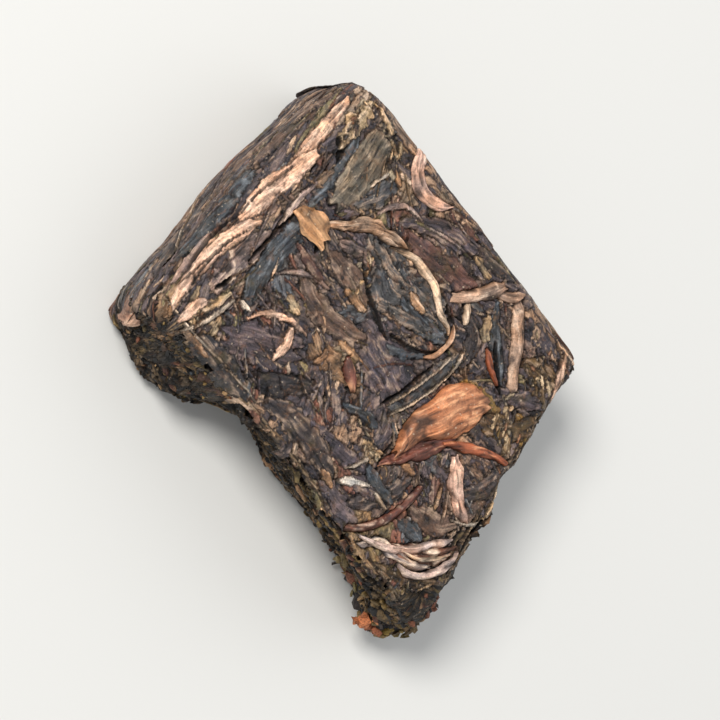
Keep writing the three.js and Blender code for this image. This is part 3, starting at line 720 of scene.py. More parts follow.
peach_leaves.append(surfaced(knob, 0.5, on_break, tone=knob_tone, edging=0.2))
peach_finish = leaf_finish("peach dried leaf edge", olive=0.1, dull=0.66, relief=0.8, mingled=0.3, groove_shade=0.44)
leaf_object("peach_leaves", peach_leaves, peach_finish)

# ---- Stems ----
# Stalk picked with the leaf: round, woody and pale, finely ribbed along its length, snapped at both
# ends. Two show on this piece, pressed half into its top.
STEM = [seen(164, 130, 106), seen(92, 54, 42)]
STEMS = {
    "pale_stem": leaf_at(-12.8, 9.6, 40, 11.4, 1.7, -6, rise=0.75, proud=0.5, thin=0.5),
    "brown_stem": leaf_at(13.0, 11.8, 160, 11.0, 1.0, 58, rise=0.55, proud=0.3, tone=1, thin=0.4),
}
stem_random = np.random.default_rng(33)
stems = laid(
    stem_random, STEM, seen(206, 182, 160), STEMS, blunt=0.86, crown=1.0, power=2.0, furrow=0.08,
    wrinkle=0.05, ragged=0.08, sway=0.01, loose=0.4,
)
leaf_object("stems", stems, leaf_finish("ribbed dry stalk", olive=0.1, dull=0.7, gloss=0.5, relief=0.7))

# ---- The mat ----
# Flat leaves and short scraps of leaf, stalk and fibre, most of them slate or purple brown, pressed
# into one mat. It fills the gaps between the leaves laid above, flush with them, and runs down over
# the rim and the flank.
MAT_PITCH = 0.13                               # the cells of the mat's grid
MAT_REACH = {"rim": 17.6, "flank": 16}         # how far the flat sheet runs on past each fold
MAT_FLOOR = -0.7                               # the ground between scraps, and the deepest crack
MAT_LOWEST = -1.6
BROAD_FLAT = {"rise": 0.6, "level": 0.12, "over": 0.6, "crack": 0.22}
SQUEEZE = 0.6                                  # what the lid leaves of relief that stands proud
SWELL = {"high": 0.16, "wide": 3.2}            # the broad swells of the whole skin
UNDER_LEAVES = {"gap": 0.08, "most": -0.75}    # how the mat keeps under the leaves laid above it
PATCH_SHARE = 0.75                             # how many scraps of a patch have its own tones
MAT_TONES = [
    *[seen(80, 68, 69)] * 4, *[seen(62, 54, 58)] * 4, seen(98, 79, 70), seen(118, 92, 74),
    seen(84, 84, 85), seen(150, 120, 96), seen(108, 96, 64), seen(112, 70, 54), seen(174, 144, 118),
    seen(54, 46, 48),
]


def scraps(count, length, width, level, rise, fibres, **more):
    """A round of scraps: how many, the ranges of their length, width and level, and their relief."""
    sizes = {"length": length, "width": width, "level": level}
    return {"count": count, **sizes, "rise": rise, "fibres": fibres, **more}


MAT_ROUNDS = [
    scraps(900, (2, 8), (0.3, 1.0), (-0.4, 0.0), 0.2, 0.6),
    scraps(900, (3, 10), (1.2, 3.4), (-0.4, 0.14), 0.24, 0.4, fine=0.7, crack=0.14),
]
STRAND_ROUNDS = [
    scraps(480, (1.5, 8), (0.14, 0.34), (-0.06, 0.14), 0.1, 0.8),
    scraps(360, (0.8, 2.8), (0.25, 0.8), (-0.16, 0.12), 0.14, 0.8),
]
ROLLED = {"loose": 0.12, "ragged": 0.2, "fine": 1.3}
RIBBED = {"loose": 0.8, "fine": 1.3, "fibres": 0.8}
SLATY = {"loose": 0.55, "fine": 1.3, "fibres": 0.45}
BROAD = {
    "slate": seen(59, 62, 65), "grey": seen(72, 70, 69), "black": seen(42, 38, 39),
    "dark": seen(58, 48, 45), "purple": seen(76, 64, 67), "brown": seen(88, 67, 55),
    "red": seen(84, 55, 47), "olive": seen(108, 95, 78), "moss": seen(82, 60, 30),
    "yellow": seen(172, 142, 106), "peach": seen(206, 162, 134), "rose": seen(140, 116, 106),
    "tan": seen(156, 116, 82), "pale": seen(188, 164, 140), "white": seen(206, 190, 172),
}
BROAD_LEAVES = {
    "peach_low": leaf_at(7.5, -24.9, 175, 14.2, 2.1, -39, rise=0.6, level=0.15, tone="peach", **ROLLED),
    "peach_high": leaf_at(-3.6, -24.4, 173, 12.0, 2.3, -6, rise=0.6, level=0.12, tone="peach", **ROLLED),
    "peach_far": leaf_at(-12.0, -24.8, 4, 12.0, 1.5, 5, rise=0.5, level=0.1, tone="peach", **ROLLED),
    "peach_side": leaf_at(8.9, -26.7, -179, 7.5, 1.2, -21, rise=0.5, level=0.1, tone="rose", **ROLLED),
    "rose_streak": leaf_at(-3.8, -21.6, 2, 7.0, 0.9, 20, rise=0.4, level=0.1, tone="rose"),
    "tan_low": leaf_at(13.6, -22.2, 173, 4.0, 1.3, -15, rise=0.5, level=0.2, tone="peach", **ROLLED),
    "yellow_low": leaf_at(11.2, -20.8, 162, 5.2, 1.1, 19, rise=0.5, level=0.2, tone="yellow"),
    "pale_low": leaf_at(12.2, -19.9, 166, 6.8, 0.6, 16, rise=0.4, level=0.2, tone="pale", **ROLLED),
    "edge_line": leaf_at(4.4, -33.5, -146, 11.8, 0.3, -20, rise=0.3, level=0.2, tone="pale"),
    "torn_line": leaf_at(15.2, -20.0, 87, 11.5, 0.26, 23, rise=0.3, level=0.25, tone="pale"),
    "torn_line_two": leaf_at(15.1, -11.8, 88, 5.5, 0.26, -19, rise=0.3, level=0.25, tone="pale"),
    "gold_band": leaf_at(
        -15.6, -22.6, 9, 7.0, 1.9, 22, rise=0.5, level=0.1, tone="yellow", ragged=0.7, loose=1.3,
    ),
    "gold_side": leaf_at(
        -18.6, -19.9, 71, 5.6, 0.9, -33, rise=0.4, level=0.1, tone="yellow", ragged=0.8, loose=1.3,
    ),
    "ledge_tan": leaf_at(15.7, -18.9, 84, 4.2, 0.6, rise=0.3, level=0.35, tone="tan"),
    "ledge_cover": leaf_at(15.3, -15.4, 84, 9.5, 2.6, -13, rise=0.5, level=0.3, tone="black"),
    "corner_leaf": leaf_at(
        -12.6, -18.4, -174, 12.0, 4.3, 9, rise=0.3, level=0.05, tone="olive", fibres=0.3, **ROLLED,
    ),
    "pocket_end": leaf_at(-15.0, -14.5, 60, 2.0, 0.5, rise=0.3, level=0.15, tone="tan"),
    "toe_leaf": leaf_at(16.2, 18.0, 120, 8.7, 2.0, 19, rise=0.5, level=0.0, tone="moss", loose=0.8),
    "toe_leaf_two": leaf_at(16.0, 20.3, 117, 5.3, 1.7, 69, rise=0.5, level=0.05, tone="dark", edging=0.5),
    "heart_low": leaf_at(-4.3, -2.4, 110, 6.0, 1.7, 34, rise=0.5, level=0.1, tone="grey", edging=0.4),
    "heart_foot": leaf_at(
        -1.6, 0.2, 125, 5.6, 1.1, 39, rise=0.4, level=0.1, tone="slate", edging=0.4, fibres=0.45,
        loose=0.55,
    ),
    "corner_slate": leaf_at(-9.8, -20.3, -172, 10.5, 1.6, 18, rise=0.4, level=0.0, tone="slate", **SLATY),
    "pocket_line": leaf_at(-12.6, -16.1, 164, 4.6, 0.4, 20, rise=0.3, level=0.15, tone="pale"),
    "pocket": leaf_at(-11.8, -15.0, 167, 6.4, 2.5, 23, rise=0.5, level=-0.1, tone="grey", edging=0.4),
    "brow": leaf_at(-12.8, -12.3, 132, 6.0, 0.7, -108, rise=0.4, level=0.1, tone="rose"),
    "under_curl": leaf_at(-5.4, -12.6, 108, 5.0, 1.6, -30, rise=0.5, level=0.05, tone="rose", loose=0.9),
    "red_bit": leaf_at(-0.4, -15.9, 81, 5.3, 1.1, 7, rise=0.4, level=0.05, tone="red"),
    "left_arc": leaf_at(1.0, -15.4, 122, 6.7, 0.7, -63, rise=0.4, level=0.1, tone="rose"),
    "tan_spot": leaf_at(4.4, -13.6, 78, 2.6, 1.1, rise=0.3, level=0.1, tone="yellow"),
    "white_spot": leaf_at(8.6, -17.9, 86, 1.6, 0.8, rise=0.3, level=0.15, tone="white"),
    "loop": leaf_at(6.4, -14.0, 120, 7.6, 0.8, -76, rise=0.35, level=0.2, tone="peach"),
    "loop_end": leaf_at(8.3, -11.2, -166, 4.3, 1.0, 32, rise=0.35, level=0.1, tone="peach"),
    "small_tan": leaf_at(6.2, -7.1, 177, 2.2, 1.0, 53, rise=0.3, level=0.1, tone="tan"),
    "heart_ridge": leaf_at(
        -7.0, -8.2, 82, 7.0, 1.2, 24, rise=0.5, level=0.15, tone="grey", edging=0.7, **RIBBED,
    ),
    "heart_tip": leaf_at(-6.6, -3.0, 84, 3.0, 0.9, rise=0.4, level=0.1, tone="tan"),
    "heart_slate": leaf_at(
        -5.2, -1.0, 96, 7.5, 2.2, 40, rise=0.5, level=0.1, tone="slate", edging=0.5, **SLATY,
    ),
    "heart_leaf": leaf_at(
        -6.2, -4.7, 84, 14.5, 6.0, 42, rise=0.7, level=0.05, tone="grey", edging=0.3, **RIBBED,
    ),
    "red_leaf": leaf_at(
        -11.6, -4.3, 102, 10.5, 3.2, 22, rise=0.4, level=0.0, tone="red", edging=0.1, fibres=0.2,
    ),
    "flank_line": leaf_at(-14.6, -5.4, 104, 7.0, 0.35, -20, rise=0.3, level=0.2, tone="rose"),
    "flank_tip": leaf_at(-15.5, 0.0, 83, 3.3, 1.0, rise=0.3, level=0.2, tone="yellow"),
    "flank_dark": leaf_at(-14.7, -6.5, 113, 10.5, 2.4, -35, rise=0.5, level=0.0, tone="purple", edging=0.4),
    "flank_low": leaf_at(-16.3, -1.7, 99, 11.5, 1.9, rise=0.5, level=0.0, tone="dark", edging=0.8),
    "under_tan": leaf_at(-1.3, -8.6, 96, 3.6, 1.0, rise=0.35, level=0.1, tone="tan"),
    "under_heart": leaf_at(-3.0, -11.0, 85, 7.5, 3.1, -18, rise=0.4, level=0.0, tone="brown", edging=0.3),
    "moss_bit": leaf_at(-10.9, 5.8, 34, 3.2, 1.1, rise=0.35, level=0.1, tone="yellow"),
    "dark_slot": leaf_at(-10.8, 7.7, 47, 9.6, 1.7, 16, rise=0.5, level=-0.05, tone="slate", **SLATY),
    "side_splinter": leaf_at(-13.8, 16.5, 32, 5.9, 0.7, rise=0.35, level=0.2, tone="peach"),
    "moss_right": leaf_at(-12.6, 14.3, 105, 5.5, 2.6, -14, rise=0.5, level=0.0, tone="moss", loose=1.2),
    "moss_low": leaf_at(-4.9, 15.8, 129, 8.4, 2.8, 73, rise=0.6, level=0.0, tone="moss", loose=1.2),
    "stem_foot": leaf_at(-8.4, 14.6, 118, 6.4, 2.0, rise=0.5, level=0.05, tone="purple"),
    "line_one": leaf_at(-0.7, 3.9, 168, 10.5, 0.35, 14, rise=0.3, level=0.2, tone="pale"),
    "line_two": leaf_at(0.1, 5.2, 166, 9.6, 0.35, 20, rise=0.3, level=0.2, tone="pale"),
    "arc_line": leaf_at(-5.1, 5.8, 10, 3.4, 0.4, -19, rise=0.3, level=0.2, tone="pale"),
    "line_dark": leaf_at(
        -0.3, 4.4, 166, 12.0, 2.2, 20, rise=0.5, level=0.05, tone="grey", edging=0.4, **RIBBED,
    ),
    "arc_leaf": leaf_at(-9.3, 4.9, 51, 6.5, 2.3, -100, rise=0.5, level=0.0, tone="dark"),
    "splint_tail": leaf_at(5.4, 20.6, 152, 6.6, 0.45, 111, rise=0.3, level=0.2, tone="pale"),
    "splint_up": leaf_at(2.4, 20.4, -162, 6.2, 0.4, 67, rise=0.3, level=0.2, tone="yellow"),
    "chip": leaf_at(13.2, 5.6, 125, 3.9, 0.9, -20, rise=0.3, level=0.25, tone="white", loose=0.2),
    "chip_two": leaf_at(12.3, 9.6, 82, 2.4, 0.6, rise=0.3, level=0.25, tone="pale"),
    "chip_three": leaf_at(10.9, 4.9, 164, 4.6, 0.4, 61, rise=0.3, level=0.2, tone="pale"),
    "tan_bit": leaf_at(9.1, 4.2, 75, 3.4, 1.2, 41, rise=0.4, level=0.2, tone="yellow"),
    "slate_stick": leaf_at(11.3, 8.2, 81, 5.4, 1.5, 11, rise=0.5, level=0.2, tone="slate", **SLATY),
    "slate_glint": leaf_at(
        12.0, 14.6, 102, 3.8, 1.7, -29, rise=0.4, level=0.15, tone="slate", edging=0.5, **SLATY,
    ),
    "thin_tan": leaf_at(6.9, 14.8, 25, 2.8, 0.6, rise=0.35, level=0.1, tone="tan"),
    "orange_bit": leaf_at(7.4, 9.7, 102, 2.0, 0.8, rise=0.35, level=0.1, tone="tan"),
    "left_tan": leaf_at(15.3, 2.9, 81, 2.4, 0.8, rise=0.35, level=0.1, tone="tan"),
    "slate_bit": leaf_at(7.3, 0.8, 107, 5.0, 1.3, rise=0.4, level=0.15, tone="slate"),
    "purple_bit": leaf_at(12.2, 7.6, 110, 5.6, 2.4, rise=0.35, level=0.0, tone="purple", loose=0.15),
    "brown_leaf": leaf_at(9.5, 16.3, 118, 6.5, 2.8, 44, rise=0.45, level=0.0, tone="brown"),
    "slate_low": leaf_at(
        2.7, -19.3, -175, 12.5, 3.1, -30, rise=0.45, level=0.05, tone="slate", edging=0.5, **SLATY,
    ),
    "wrinkled": leaf_at(
        6.0, -22.2, 172, 10.5, 2.6, -30, rise=0.6, level=0.0, tone="rose", loose=1.2, fine=1.3,
        fibres=0.8, ragged=0.4,
    ),
    "dent": leaf_at(
        11.9, -8.7, 125, 9.5, 2.6, 17, rise=0.4, level=-0.5, tone="black", loose=0.2, fibres=0.1,
    ),
    "smooth_leaf": leaf_at(
        10.3, -13.6, 119, 9.5, 5.2, rise=0.4, level=-0.05, tone="purple", loose=0.2, fibres=0.3,
    ),
    "flat_leaf": leaf_at(1.0, -0.2, 75, 9.5, 6.6, rise=0.35, level=-0.1, tone="purple", loose=0.3),
    "rim_long": leaf_at(-8.2, -31.4, -8, 18.0, 3.2, 28, rise=0.5, tone="brown", edging=0.4),
    "rim_low": leaf_at(5.4, -32.4, 9, 13.0, 3.0, 13, rise=0.5, tone="dark", edging=0.4),
    "rim_middle": leaf_at(2.5, -27.6, -3, 14.0, 2.6, -17, rise=0.5, tone="slate", edging=0.5),
    "rim_corner": leaf_at(-10.3, -28.2, -4, 13.0, 2.2, 15, rise=0.5, tone="brown", edging=0.5),
    "middle_leaf": leaf_at(2.4, -9.6, 92, 11.6, 3.0, 60, rise=0.45, tone="brown", edging=0.5),
    "edge_long": leaf_at(13.5, -2.6, 88, 11.8, 3.0, -37, rise=0.5, tone="dark", edging=0.7),
    "edge_middle": leaf_at(12.2, 1.6, 97, 10.0, 2.2, 16, rise=0.45, tone="purple", edging=0.4),
    "before_toe": leaf_at(11.7, 9.8, 152, 8.5, 2.4, 51, rise=0.5, tone="dark"),
    "far_red": leaf_at(8.2, 15.4, 32, 6.8, 1.9, -34, rise=0.5, tone="red", edging=0.3),
    "far_dark": leaf_at(1.6, 18.7, 163, 7.0, 2.4, 60, rise=0.45, tone="dark"),
    "far_edge": leaf_at(4.8, 19.0, 177, 6.2, 1.6, rise=0.4, tone="brown", edging=0.5),
}
# Cracks pressed down into the mat; their near-black tone is painted shade in them.
GAPS = {
    "beside_heart": leaf_at(-2.8, -7.4, 63, 9.0, 0.5, 27),
    "under_heart": leaf_at(-2.9, 1.0, 120, 7.5, 0.4, 60),
    "beside_slate": leaf_at(1.0, -21.2, 178, 9.0, 0.35, -15),
    "peach_split": leaf_at(7.0, -24.4, 176, 9.0, 0.16, -30),
    "peach_split_two": leaf_at(9.4, -25.0, 168, 7.0, 0.12, -22),
    "peach_split_three": leaf_at(-3.0, -24.9, 174, 8.0, 0.16, -6),
    "by_peach": leaf_at(6.0, -26.2, 176, 9.0, 0.3, -30),
    "in_wrinkles": leaf_at(8.8, -21.6, 170, 2.4, 0.45, 10),
    "speckle_hole": leaf_at(-12.5, -22.6, 40, 1.2, 0.5, 10),
    "speckle_hole_two": leaf_at(-11.6, -21.6, 10, 1.4, 0.5, 10),
    "under_line": leaf_at(1.0, 2.9, 168, 8.0, 0.3, 14),
    "under_orange": leaf_at(2.4, 9.8, 160, 10.0, 0.4, -12),
    "under_flake": leaf_at(-3.0, -16.4, 10, 3.0, 0.4, 30),
    "by_fan": leaf_at(8.3, 20.0, -173, 2.5, 1.3, -8),
    "by_stem": leaf_at(-8.9, 9.6, 50, 6.0, 0.5, 10),
}
SPECKLES = [
    {"from": (-18.0, -24.0), "to": (-12.8, -21.6), "wide": 0.7, "count": 10},
    {"from": (-18.2, -23.0), "to": (-17.4, -17.0), "wide": 0.6, "count": 8},
    {"from": (-17.4, -17.0), "to": (-14.6, -15.4), "wide": 0.5, "count": 16},
    {"from": (-7.0, -11.2), "to": (-3.2, -9.2), "wide": 0.9, "count": 14},
    {"from": (12.0, -21.2), "to": (15.0, -20.6), "wide": 0.8, "count": 14},
    {"from": (-13.5, 12.6), "to": (-11.5, 16.0), "wide": 1.3, "count": 20},
    {"from": (-6.8, 14.2), "to": (-2.5, 17.4), "wide": 1.5, "count": 30},
    {"from": (8.0, 1.2), "to": (9.8, 6.2), "wide": 0.8, "count": 22},
]
SPECKLE_TONES = [
    seen(160, 128, 92), seen(180, 146, 110), seen(120, 92, 62), seen(128, 88, 62),
    *[seen(52, 43, 38)] * 3, seen(192, 168, 136),
]
EDGE_ROUND = scraps(90, (2, 6), (0.14, 0.3), (0, 0.12), 0.12, 0.8)
EDGE_SPARE = 20                                # points at each end of the torn edge without scraps
EDGE_TONES = [seen(140, 112, 82), seen(176, 146, 114), *[seen(84, 68, 52)] * 2]
GROUND = seen(30, 24, 22)[:3]
# the darkest painted shade in the cracks beside scraps
CRACK_SHADE = seen(24, 20, 18)[:3]
SPREAD = 24                                    # degrees by which leaf strays from its heading
SWIRL = 70                                     # and by which that heading swings over the top
TURNS = {"rim": (0, 0.5 * SPREAD), "flank": (92, 0.6 * SPREAD), "top": (60, SPREAD)}
lie_table = SWIRL * waver(np.random.default_rng(13), ceiling_size, (8, 8))


def lie_heading(random, u, v):
    """Which way leaf lies at a place: with the wall on the rim and the flank, in swirls on the top."""
    if v < RIM["on"][1] + 2:
        return random.normal(*TURNS["rim"])
    if u < FLANK["on"][0] + 1:
        return random.normal(*TURNS["flank"])
    heading, spread = TURNS["top"]
    return random.normal(heading + lie_table[cells(np.array(u), np.array(v))], spread)


def new_mat(u, v, floor):
    """A mat as a grid over a sheet: how far it stands off the face, its tone, and how its leaf lies."""
    mat = {"pitch": u[1] - u[0], "first": (u[0], v[0])}
    mat["u"], mat["v"] = np.meshgrid(u, v, indexing="ij")
    mat["off"] = floor + 0.2 * grain(mat["u"], mat["v"])
    mat["tone"] = np.tile(GROUND, (*mat["u"].shape, 1))
    mat["leaf"] = np.stack([mat["u"], mat["v"], 0 * mat["u"]], -1)
    return mat


def lay_scrap(mat, random, x, y, heading, length, width, level, rise, bend, tone, pale, fibres, crack,
              edging=0.0, over=0.0, ragged=0.4, fine=1.0, loose=1.0):
    """Lays one scrap in a mat: it shows where it stands above what is there, less over.

    A crack of the depth given runs along its sides, darkened as painted shade. Fine and loose say how finely its
    relief is ribbed and how crumpled it is, ragged how frayed its outline, and edging how pale its rim.
    """
    reach = 0.6 * length + 0.5 * width
    span = []
    for middle, first, size in zip((x, y), mat["first"], mat["off"].shape):
        ends = (np.array([middle - reach, middle + reach]) - first) / mat["pitch"]
        span.append(np.arange(*np.clip(ends, 0, size).astype(int)))
    c, s = math.cos(math.radians(heading)), math.sin(math.radians(heading))
    i, j = (a.reshape(-1) for a in np.meshgrid(*span, indexing="ij"))
    u, v = mat["u"][i, j] - x, mat["v"][i, j] - y
    along, across = c * u + s * v, c * v - s * u
    curve = math.radians(bend if abs(bend) > 1 else 1) / length
    across = across - (1 - np.cos(curve * along)) / curve
    close = (np.abs(along) < 0.6 * length) & (np.abs(across) < 0.9 * width + 0.2)
    i, j, along, across = (a[close] for a in (i, j, along, across))
    if len(i) == 0:
        return
    seed = random.uniform(0, 60)
    across = across + 0.2 * loose * width * grain(along / 2 + seed, 3.3)
    share = np.abs(2 * along / length + 0.25 * grain(across * 1.4 + seed, 7.7))
    body = np.maximum(0.25, 1 - np.minimum(share, 1) ** 3) ** 0.6
    side = np.where(across < 0, 11.3, 15.6)
    outline = grain(along * 1.4 + seed, side) + 0.35 * grain(along * 4.6 + seed, side)
    half = 0.5 * width * body * (1 + ragged * outline)
    t = np.abs(across) / half
    off = level - rise * t**4 + rise * 0.6 * furrows(along, across, seed, fine, loose)
    there = mat["off"][i, j]
    within = (share < 1) & (t < 1)
    # the cells just beside the scrap get a groove and painted shade, darker for a deeper crack
    beside = ~within & (share < 1.06) & (np.abs(across) < half + 0.14) & (level > there - 0.05 - over)
    beside = beside & (grain(along * 0.8 + seed, side + 9) > -0.1)
    crack_shade = mat["tone"][i[beside], j[beside]] * (0.62 if crack < 0.1 else 0.36)
    mat["tone"][i[beside], j[beside]] = np.maximum(crack_shade, CRACK_SHADE)
    mat["off"][i[beside], j[beside]] = np.maximum(there[beside] - crack, MAT_LOWEST)
    shows = within & (off > there - over)
    colour = streaked_and_shaded(along, across, seed, tone, pale, fibres, fine, loose)[..., :3]
    broken = np.clip(0.5 + 1.5 * grain(along * 2, 3.0), 0, 1)
    rim = (np.clip((t - 0.7) * 5, 0, 1) * broken * edging)[..., None]
    colour = colour * (1 - rim) + np.array(pale[:3]) * rim
    i, j = i[shows], j[shows]
    mat["off"][i, j] = off[shows]
    mat["tone"][i, j] = colour[shows]
    mat["leaf"][i, j] = np.stack([along, across, np.full(along.shape, SEED_STEP * seed)], -1)[shows]


PATCHES = [
    (-4.5, 15.5, 5.0, [seen(108, 80, 34), seen(84, 60, 28), seen(124, 92, 40)]),
    (-10.5, 15.0, 3.6, [seen(68, 52, 30), seen(50, 38, 26), seen(86, 64, 32)]),
    (-15.0, -15.5, 4.5, [seen(138, 110, 80), seen(104, 84, 64)]),
    (3.4, -4.2, 3.0, [seen(120, 88, 60), seen(100, 82, 58)]),
    (14.6, -20.5, 3.2, [seen(132, 108, 80), seen(92, 76, 56), seen(160, 130, 104)]),
    (18.0, 22.0, 6.5, [seen(112, 96, 54), seen(136, 112, 66), seen(84, 72, 46)]),
    (16.0, 10.0, 4.0, [seen(112, 94, 60), seen(134, 106, 74)]),
]


def toned(random, tones, x, y, patches):
    """The tone of a scrap: most often one of the patch it lies in, if it lies in one."""
    for patch_x, patch_y, reach, patch_tones in patches:
        away = math.hypot(x - patch_x, y - patch_y)
        if away < reach * random.uniform(0.4, 1) and random.random() < PATCH_SHARE:
            tones = patch_tones
    return np.array(tones[random.integers(len(tones))])[:3] * random.uniform(0.75, 1.25)


def scatter(mat, random, rounds, tones, pale, place, patches=()):
    """Lays rounds of scraps of mixed tones in a mat; place gives each one's spot and heading."""
    for fill in rounds:
        for _ in range(fill["count"]):
            x, y, heading, loose = place(random)
            length, width, level = (random.uniform(*fill[k]) for k in ("length", "width", "level"))
            tone = toned(random, tones, x, y, patches)
            lay_scrap(
                mat, random, x, y, heading, length * (1.5 - 0.5 * loose), width, level,
                fill["rise"] * random.uniform(0.6, 1.4), loose * random.normal(0, 30), tone, pale,
                fill["fibres"] * random.uniform(0.2, 1.3), fill.get("crack", 0.06),
                edging=random.choice([0, 0, 0.7]), ragged=0.15 + 0.25 * loose,
                fine=fill.get("fine", 1.0), loose=loose,
            )


def mat_object(name, mat, keep, place, finish):
    """The object of a mat: one sheet over the cells kept, each corner set on the piece by place."""
    index = np.full(keep.shape, -1)
    index[keep] = np.arange(keep.sum())
    quads = np.stack([index[:-1, :-1], index[1:, :-1], index[1:, 1:], index[:-1, 1:]], -1).reshape(-1, 4)
    quads = quads[(quads >= 0).all(1)]
    used = np.unique(quads)
    fresh = np.full(keep.sum(), -1)
    fresh[used] = np.arange(len(used))
    spots = place(*(mat[key][keep][used] for key in ("u", "v", "off")))
    # the depth below the pressed face, which the finish turns into painted shade
    depth = np.maximum(0, -mat["off"][keep][used])
    marks = {
        "leaf": mat["leaf"][keep][used],
        "lie": np.stack([0 * depth, depth, 0 * depth], -1),
        "tone": np.concatenate([mat["tone"][keep][used], np.ones((len(used), 1))], -1),
    }
    leaf_mesh(name, spots, fresh[quads].reshape(-1), np.full(len(quads), 4), marks, finish)


def anywhere(random):
    """A spot anywhere on the sheet, how leaf lies there, and how loosely: flatter on the walls."""
    x, y = random.uniform(*skin_mat["u"][[0, -1], 0]), random.uniform(*skin_mat["v"][0, [0, -1]])
    walled = y < RIM["on"][1] + 3 or x < FLANK["on"][0] + 1
    return x, y, lie_heading(random, x, y), 0.25 if walled else 1.0


def along_edge(random):
    """A spot just inside the torn edge of the skin, and the way the edge runs there."""
    i = random.integers(EDGE_SPARE, len(line) - EDGE_SPARE)
    spot = skin_edge[i] + line_out[i] * (edge_jag[i] - random.uniform(-0.1, 0.35))
    return *spot, math.degrees(math.atan2(run[i, 1], run[i, 0])) + random.normal(0, 5), 0.3


mat_random = np.random.default_rng(37)
skin_mat = new_mat(
    np.arange(FLANK["on"][0] - MAT_REACH["flank"], SHEET["u"][1], MAT_PITCH),
    np.arange(RIM["on"][1] - MAT_REACH["rim"], SHEET["v"][1], MAT_PITCH), MAT_FLOOR,
)
mat_u, mat_v = skin_mat["u"], skin_mat["v"]
scatter(skin_mat, mat_random, MAT_ROUNDS, MAT_TONES, seen(186, 156, 130), anywhere, PATCHES)
for row in reversed(BROAD_LEAVES.values()):
    tone = np.array(BROAD[row["tone"]])[:3]
    pale = seen(222, 194, 168)
    # a dark bluish leaf gets blue-grey pale streaks, painted glints of light on it; other dark leaves get tan
    # fibres
    if tone[0] < 0.2:
        pale = seen(132, 136, 140) if tone[2] > tone[0] else seen(168, 142, 120)
    frayed = {"ragged": 0.55, "loose": 0.8} if row["width"] < 1.4 else {"ragged": 0.32, "loose": 0.45}
    settings = {"level": 0.0, "fibres": 0.6, **frayed, **row, "tone": tone, "pale": pale}
    settings["rise"] *= BROAD_FLAT["rise"]
    settings["level"] += BROAD_FLAT["level"]
    lay_scrap(skin_mat, mat_random, over=BROAD_FLAT["over"], crack=BROAD_FLAT["crack"], **settings)
scatter(skin_mat, mat_random, STRAND_ROUNDS, MAT_TONES, seen(200, 170, 142), anywhere, PATCHES)
for run_of in SPECKLES:
    ends = np.array([run_of["from"], run_of["to"]])
    heading = math.degrees(math.atan2(*(ends[1] - ends[0])[::-1]))
    for _ in range(run_of["count"]):
        on_run = ends[0] + mat_random.random() * (ends[1] - ends[0])
        x, y = on_run + mat_random.normal(0, run_of["wide"], 2) * 0.6
        tone = np.array(SPECKLE_TONES[mat_random.integers(len(SPECKLE_TONES))])[:3]
        lay_scrap(
            skin_mat, mat_random, x, y, mat_random.normal(heading, 28), mat_random.uniform(0.5, 2.0),
            mat_random.uniform(0.2, 0.6), mat_random.uniform(-0.05, 0.2), 0.25, 0, tone,
            seen(206, 182, 146), 0.7, 0.06, over=0.3, ragged=0.6,
        )
# the cracks' near-black tone and dark pale are painted shade
for row in GAPS.values():
    lay_scrap(
        skin_mat, mat_random, level=-0.75, rise=0.1, tone=seen(22, 18, 17)[:3], pale=seen(40, 32, 28),
        fibres=0, over=9, crack=0.1, **row,
    )
scatter(skin_mat, mat_random, [EDGE_ROUND], EDGE_TONES, seen(204, 176, 144), along_edge)
skin_mat["off"] = np.where(skin_mat["off"] > 0, SQUEEZE * skin_mat["off"], skin_mat["off"])
skin_mat["off"] += SWELL["high"] * grain(mat_u / SWELL["wide"], mat_v / SWELL["wide"])
under_leaves = ceiling[cells(mat_u, mat_v)] - UNDER_LEAVES["gap"]
skin_mat["off"] = np.minimum(skin_mat["off"], np.maximum(under_leaves, UNDER_LEAVES["most"]))

# Past the torn edge the mat dips, its colour darkened there as painted shade, and stops. On the walls it stops in
# the same way at the line where the broken sides begin, and the flat sheet's corner, which both folds would take,
# goes.
WALL_LEVELS = (0.3, 14)
WALL_BELOW = {"rim": 4, "flank": 1.5}        # past the fold, where the wall's own end line counts
SHEET_CORNER = {"rim": 7.9, "flank": 2.2}
TOP_ENDS = {"rim": 3.2, "flank": 1.2}        # past the fold, where the top ends and the wall begins
LAST_OF_MAT = 0.3                            # how far the mat runs past the torn edge
WALL_STRAY = 0.35                            # wall cells further than this off the solid are dropped
ENOUGH_MET = 0.4                             # the share of a cell's corners that have to meet the solid
mat_past = np.array([past_edge(u, v) for u, v in zip(mat_u, mat_v)])
wall_level = (np.clip(moulded(mat_u, mat_v)[0][..., 2], *WALL_LEVELS) - levels[0]) / LEVEL_STEP
wall_ends = (
    (0, first_station, mat_v < RIM["on"][1] - WALL_BELOW["rim"]),
    (1, last_station, mat_u < FLANK["on"][0] - WALL_BELOW["flank"]),
)
for side, station, beyond in wall_ends:
    at = int(station / BREAK_STEP)
    out = read(break_form, np.full(mat_u.shape, float(at)), wall_level)
    corner = line[at, side] + line_out[at, side] * out
    past = skin_mat["uv"[side]] - corner + 0.5 * grain(mat_u / 1.3, mat_v / 1.3)
    mat_past = np.where(beyond, past, mat_past)
skin_mat["off"] -= np.clip(1.4 * (mat_past + 0.05), 0, 0.7)
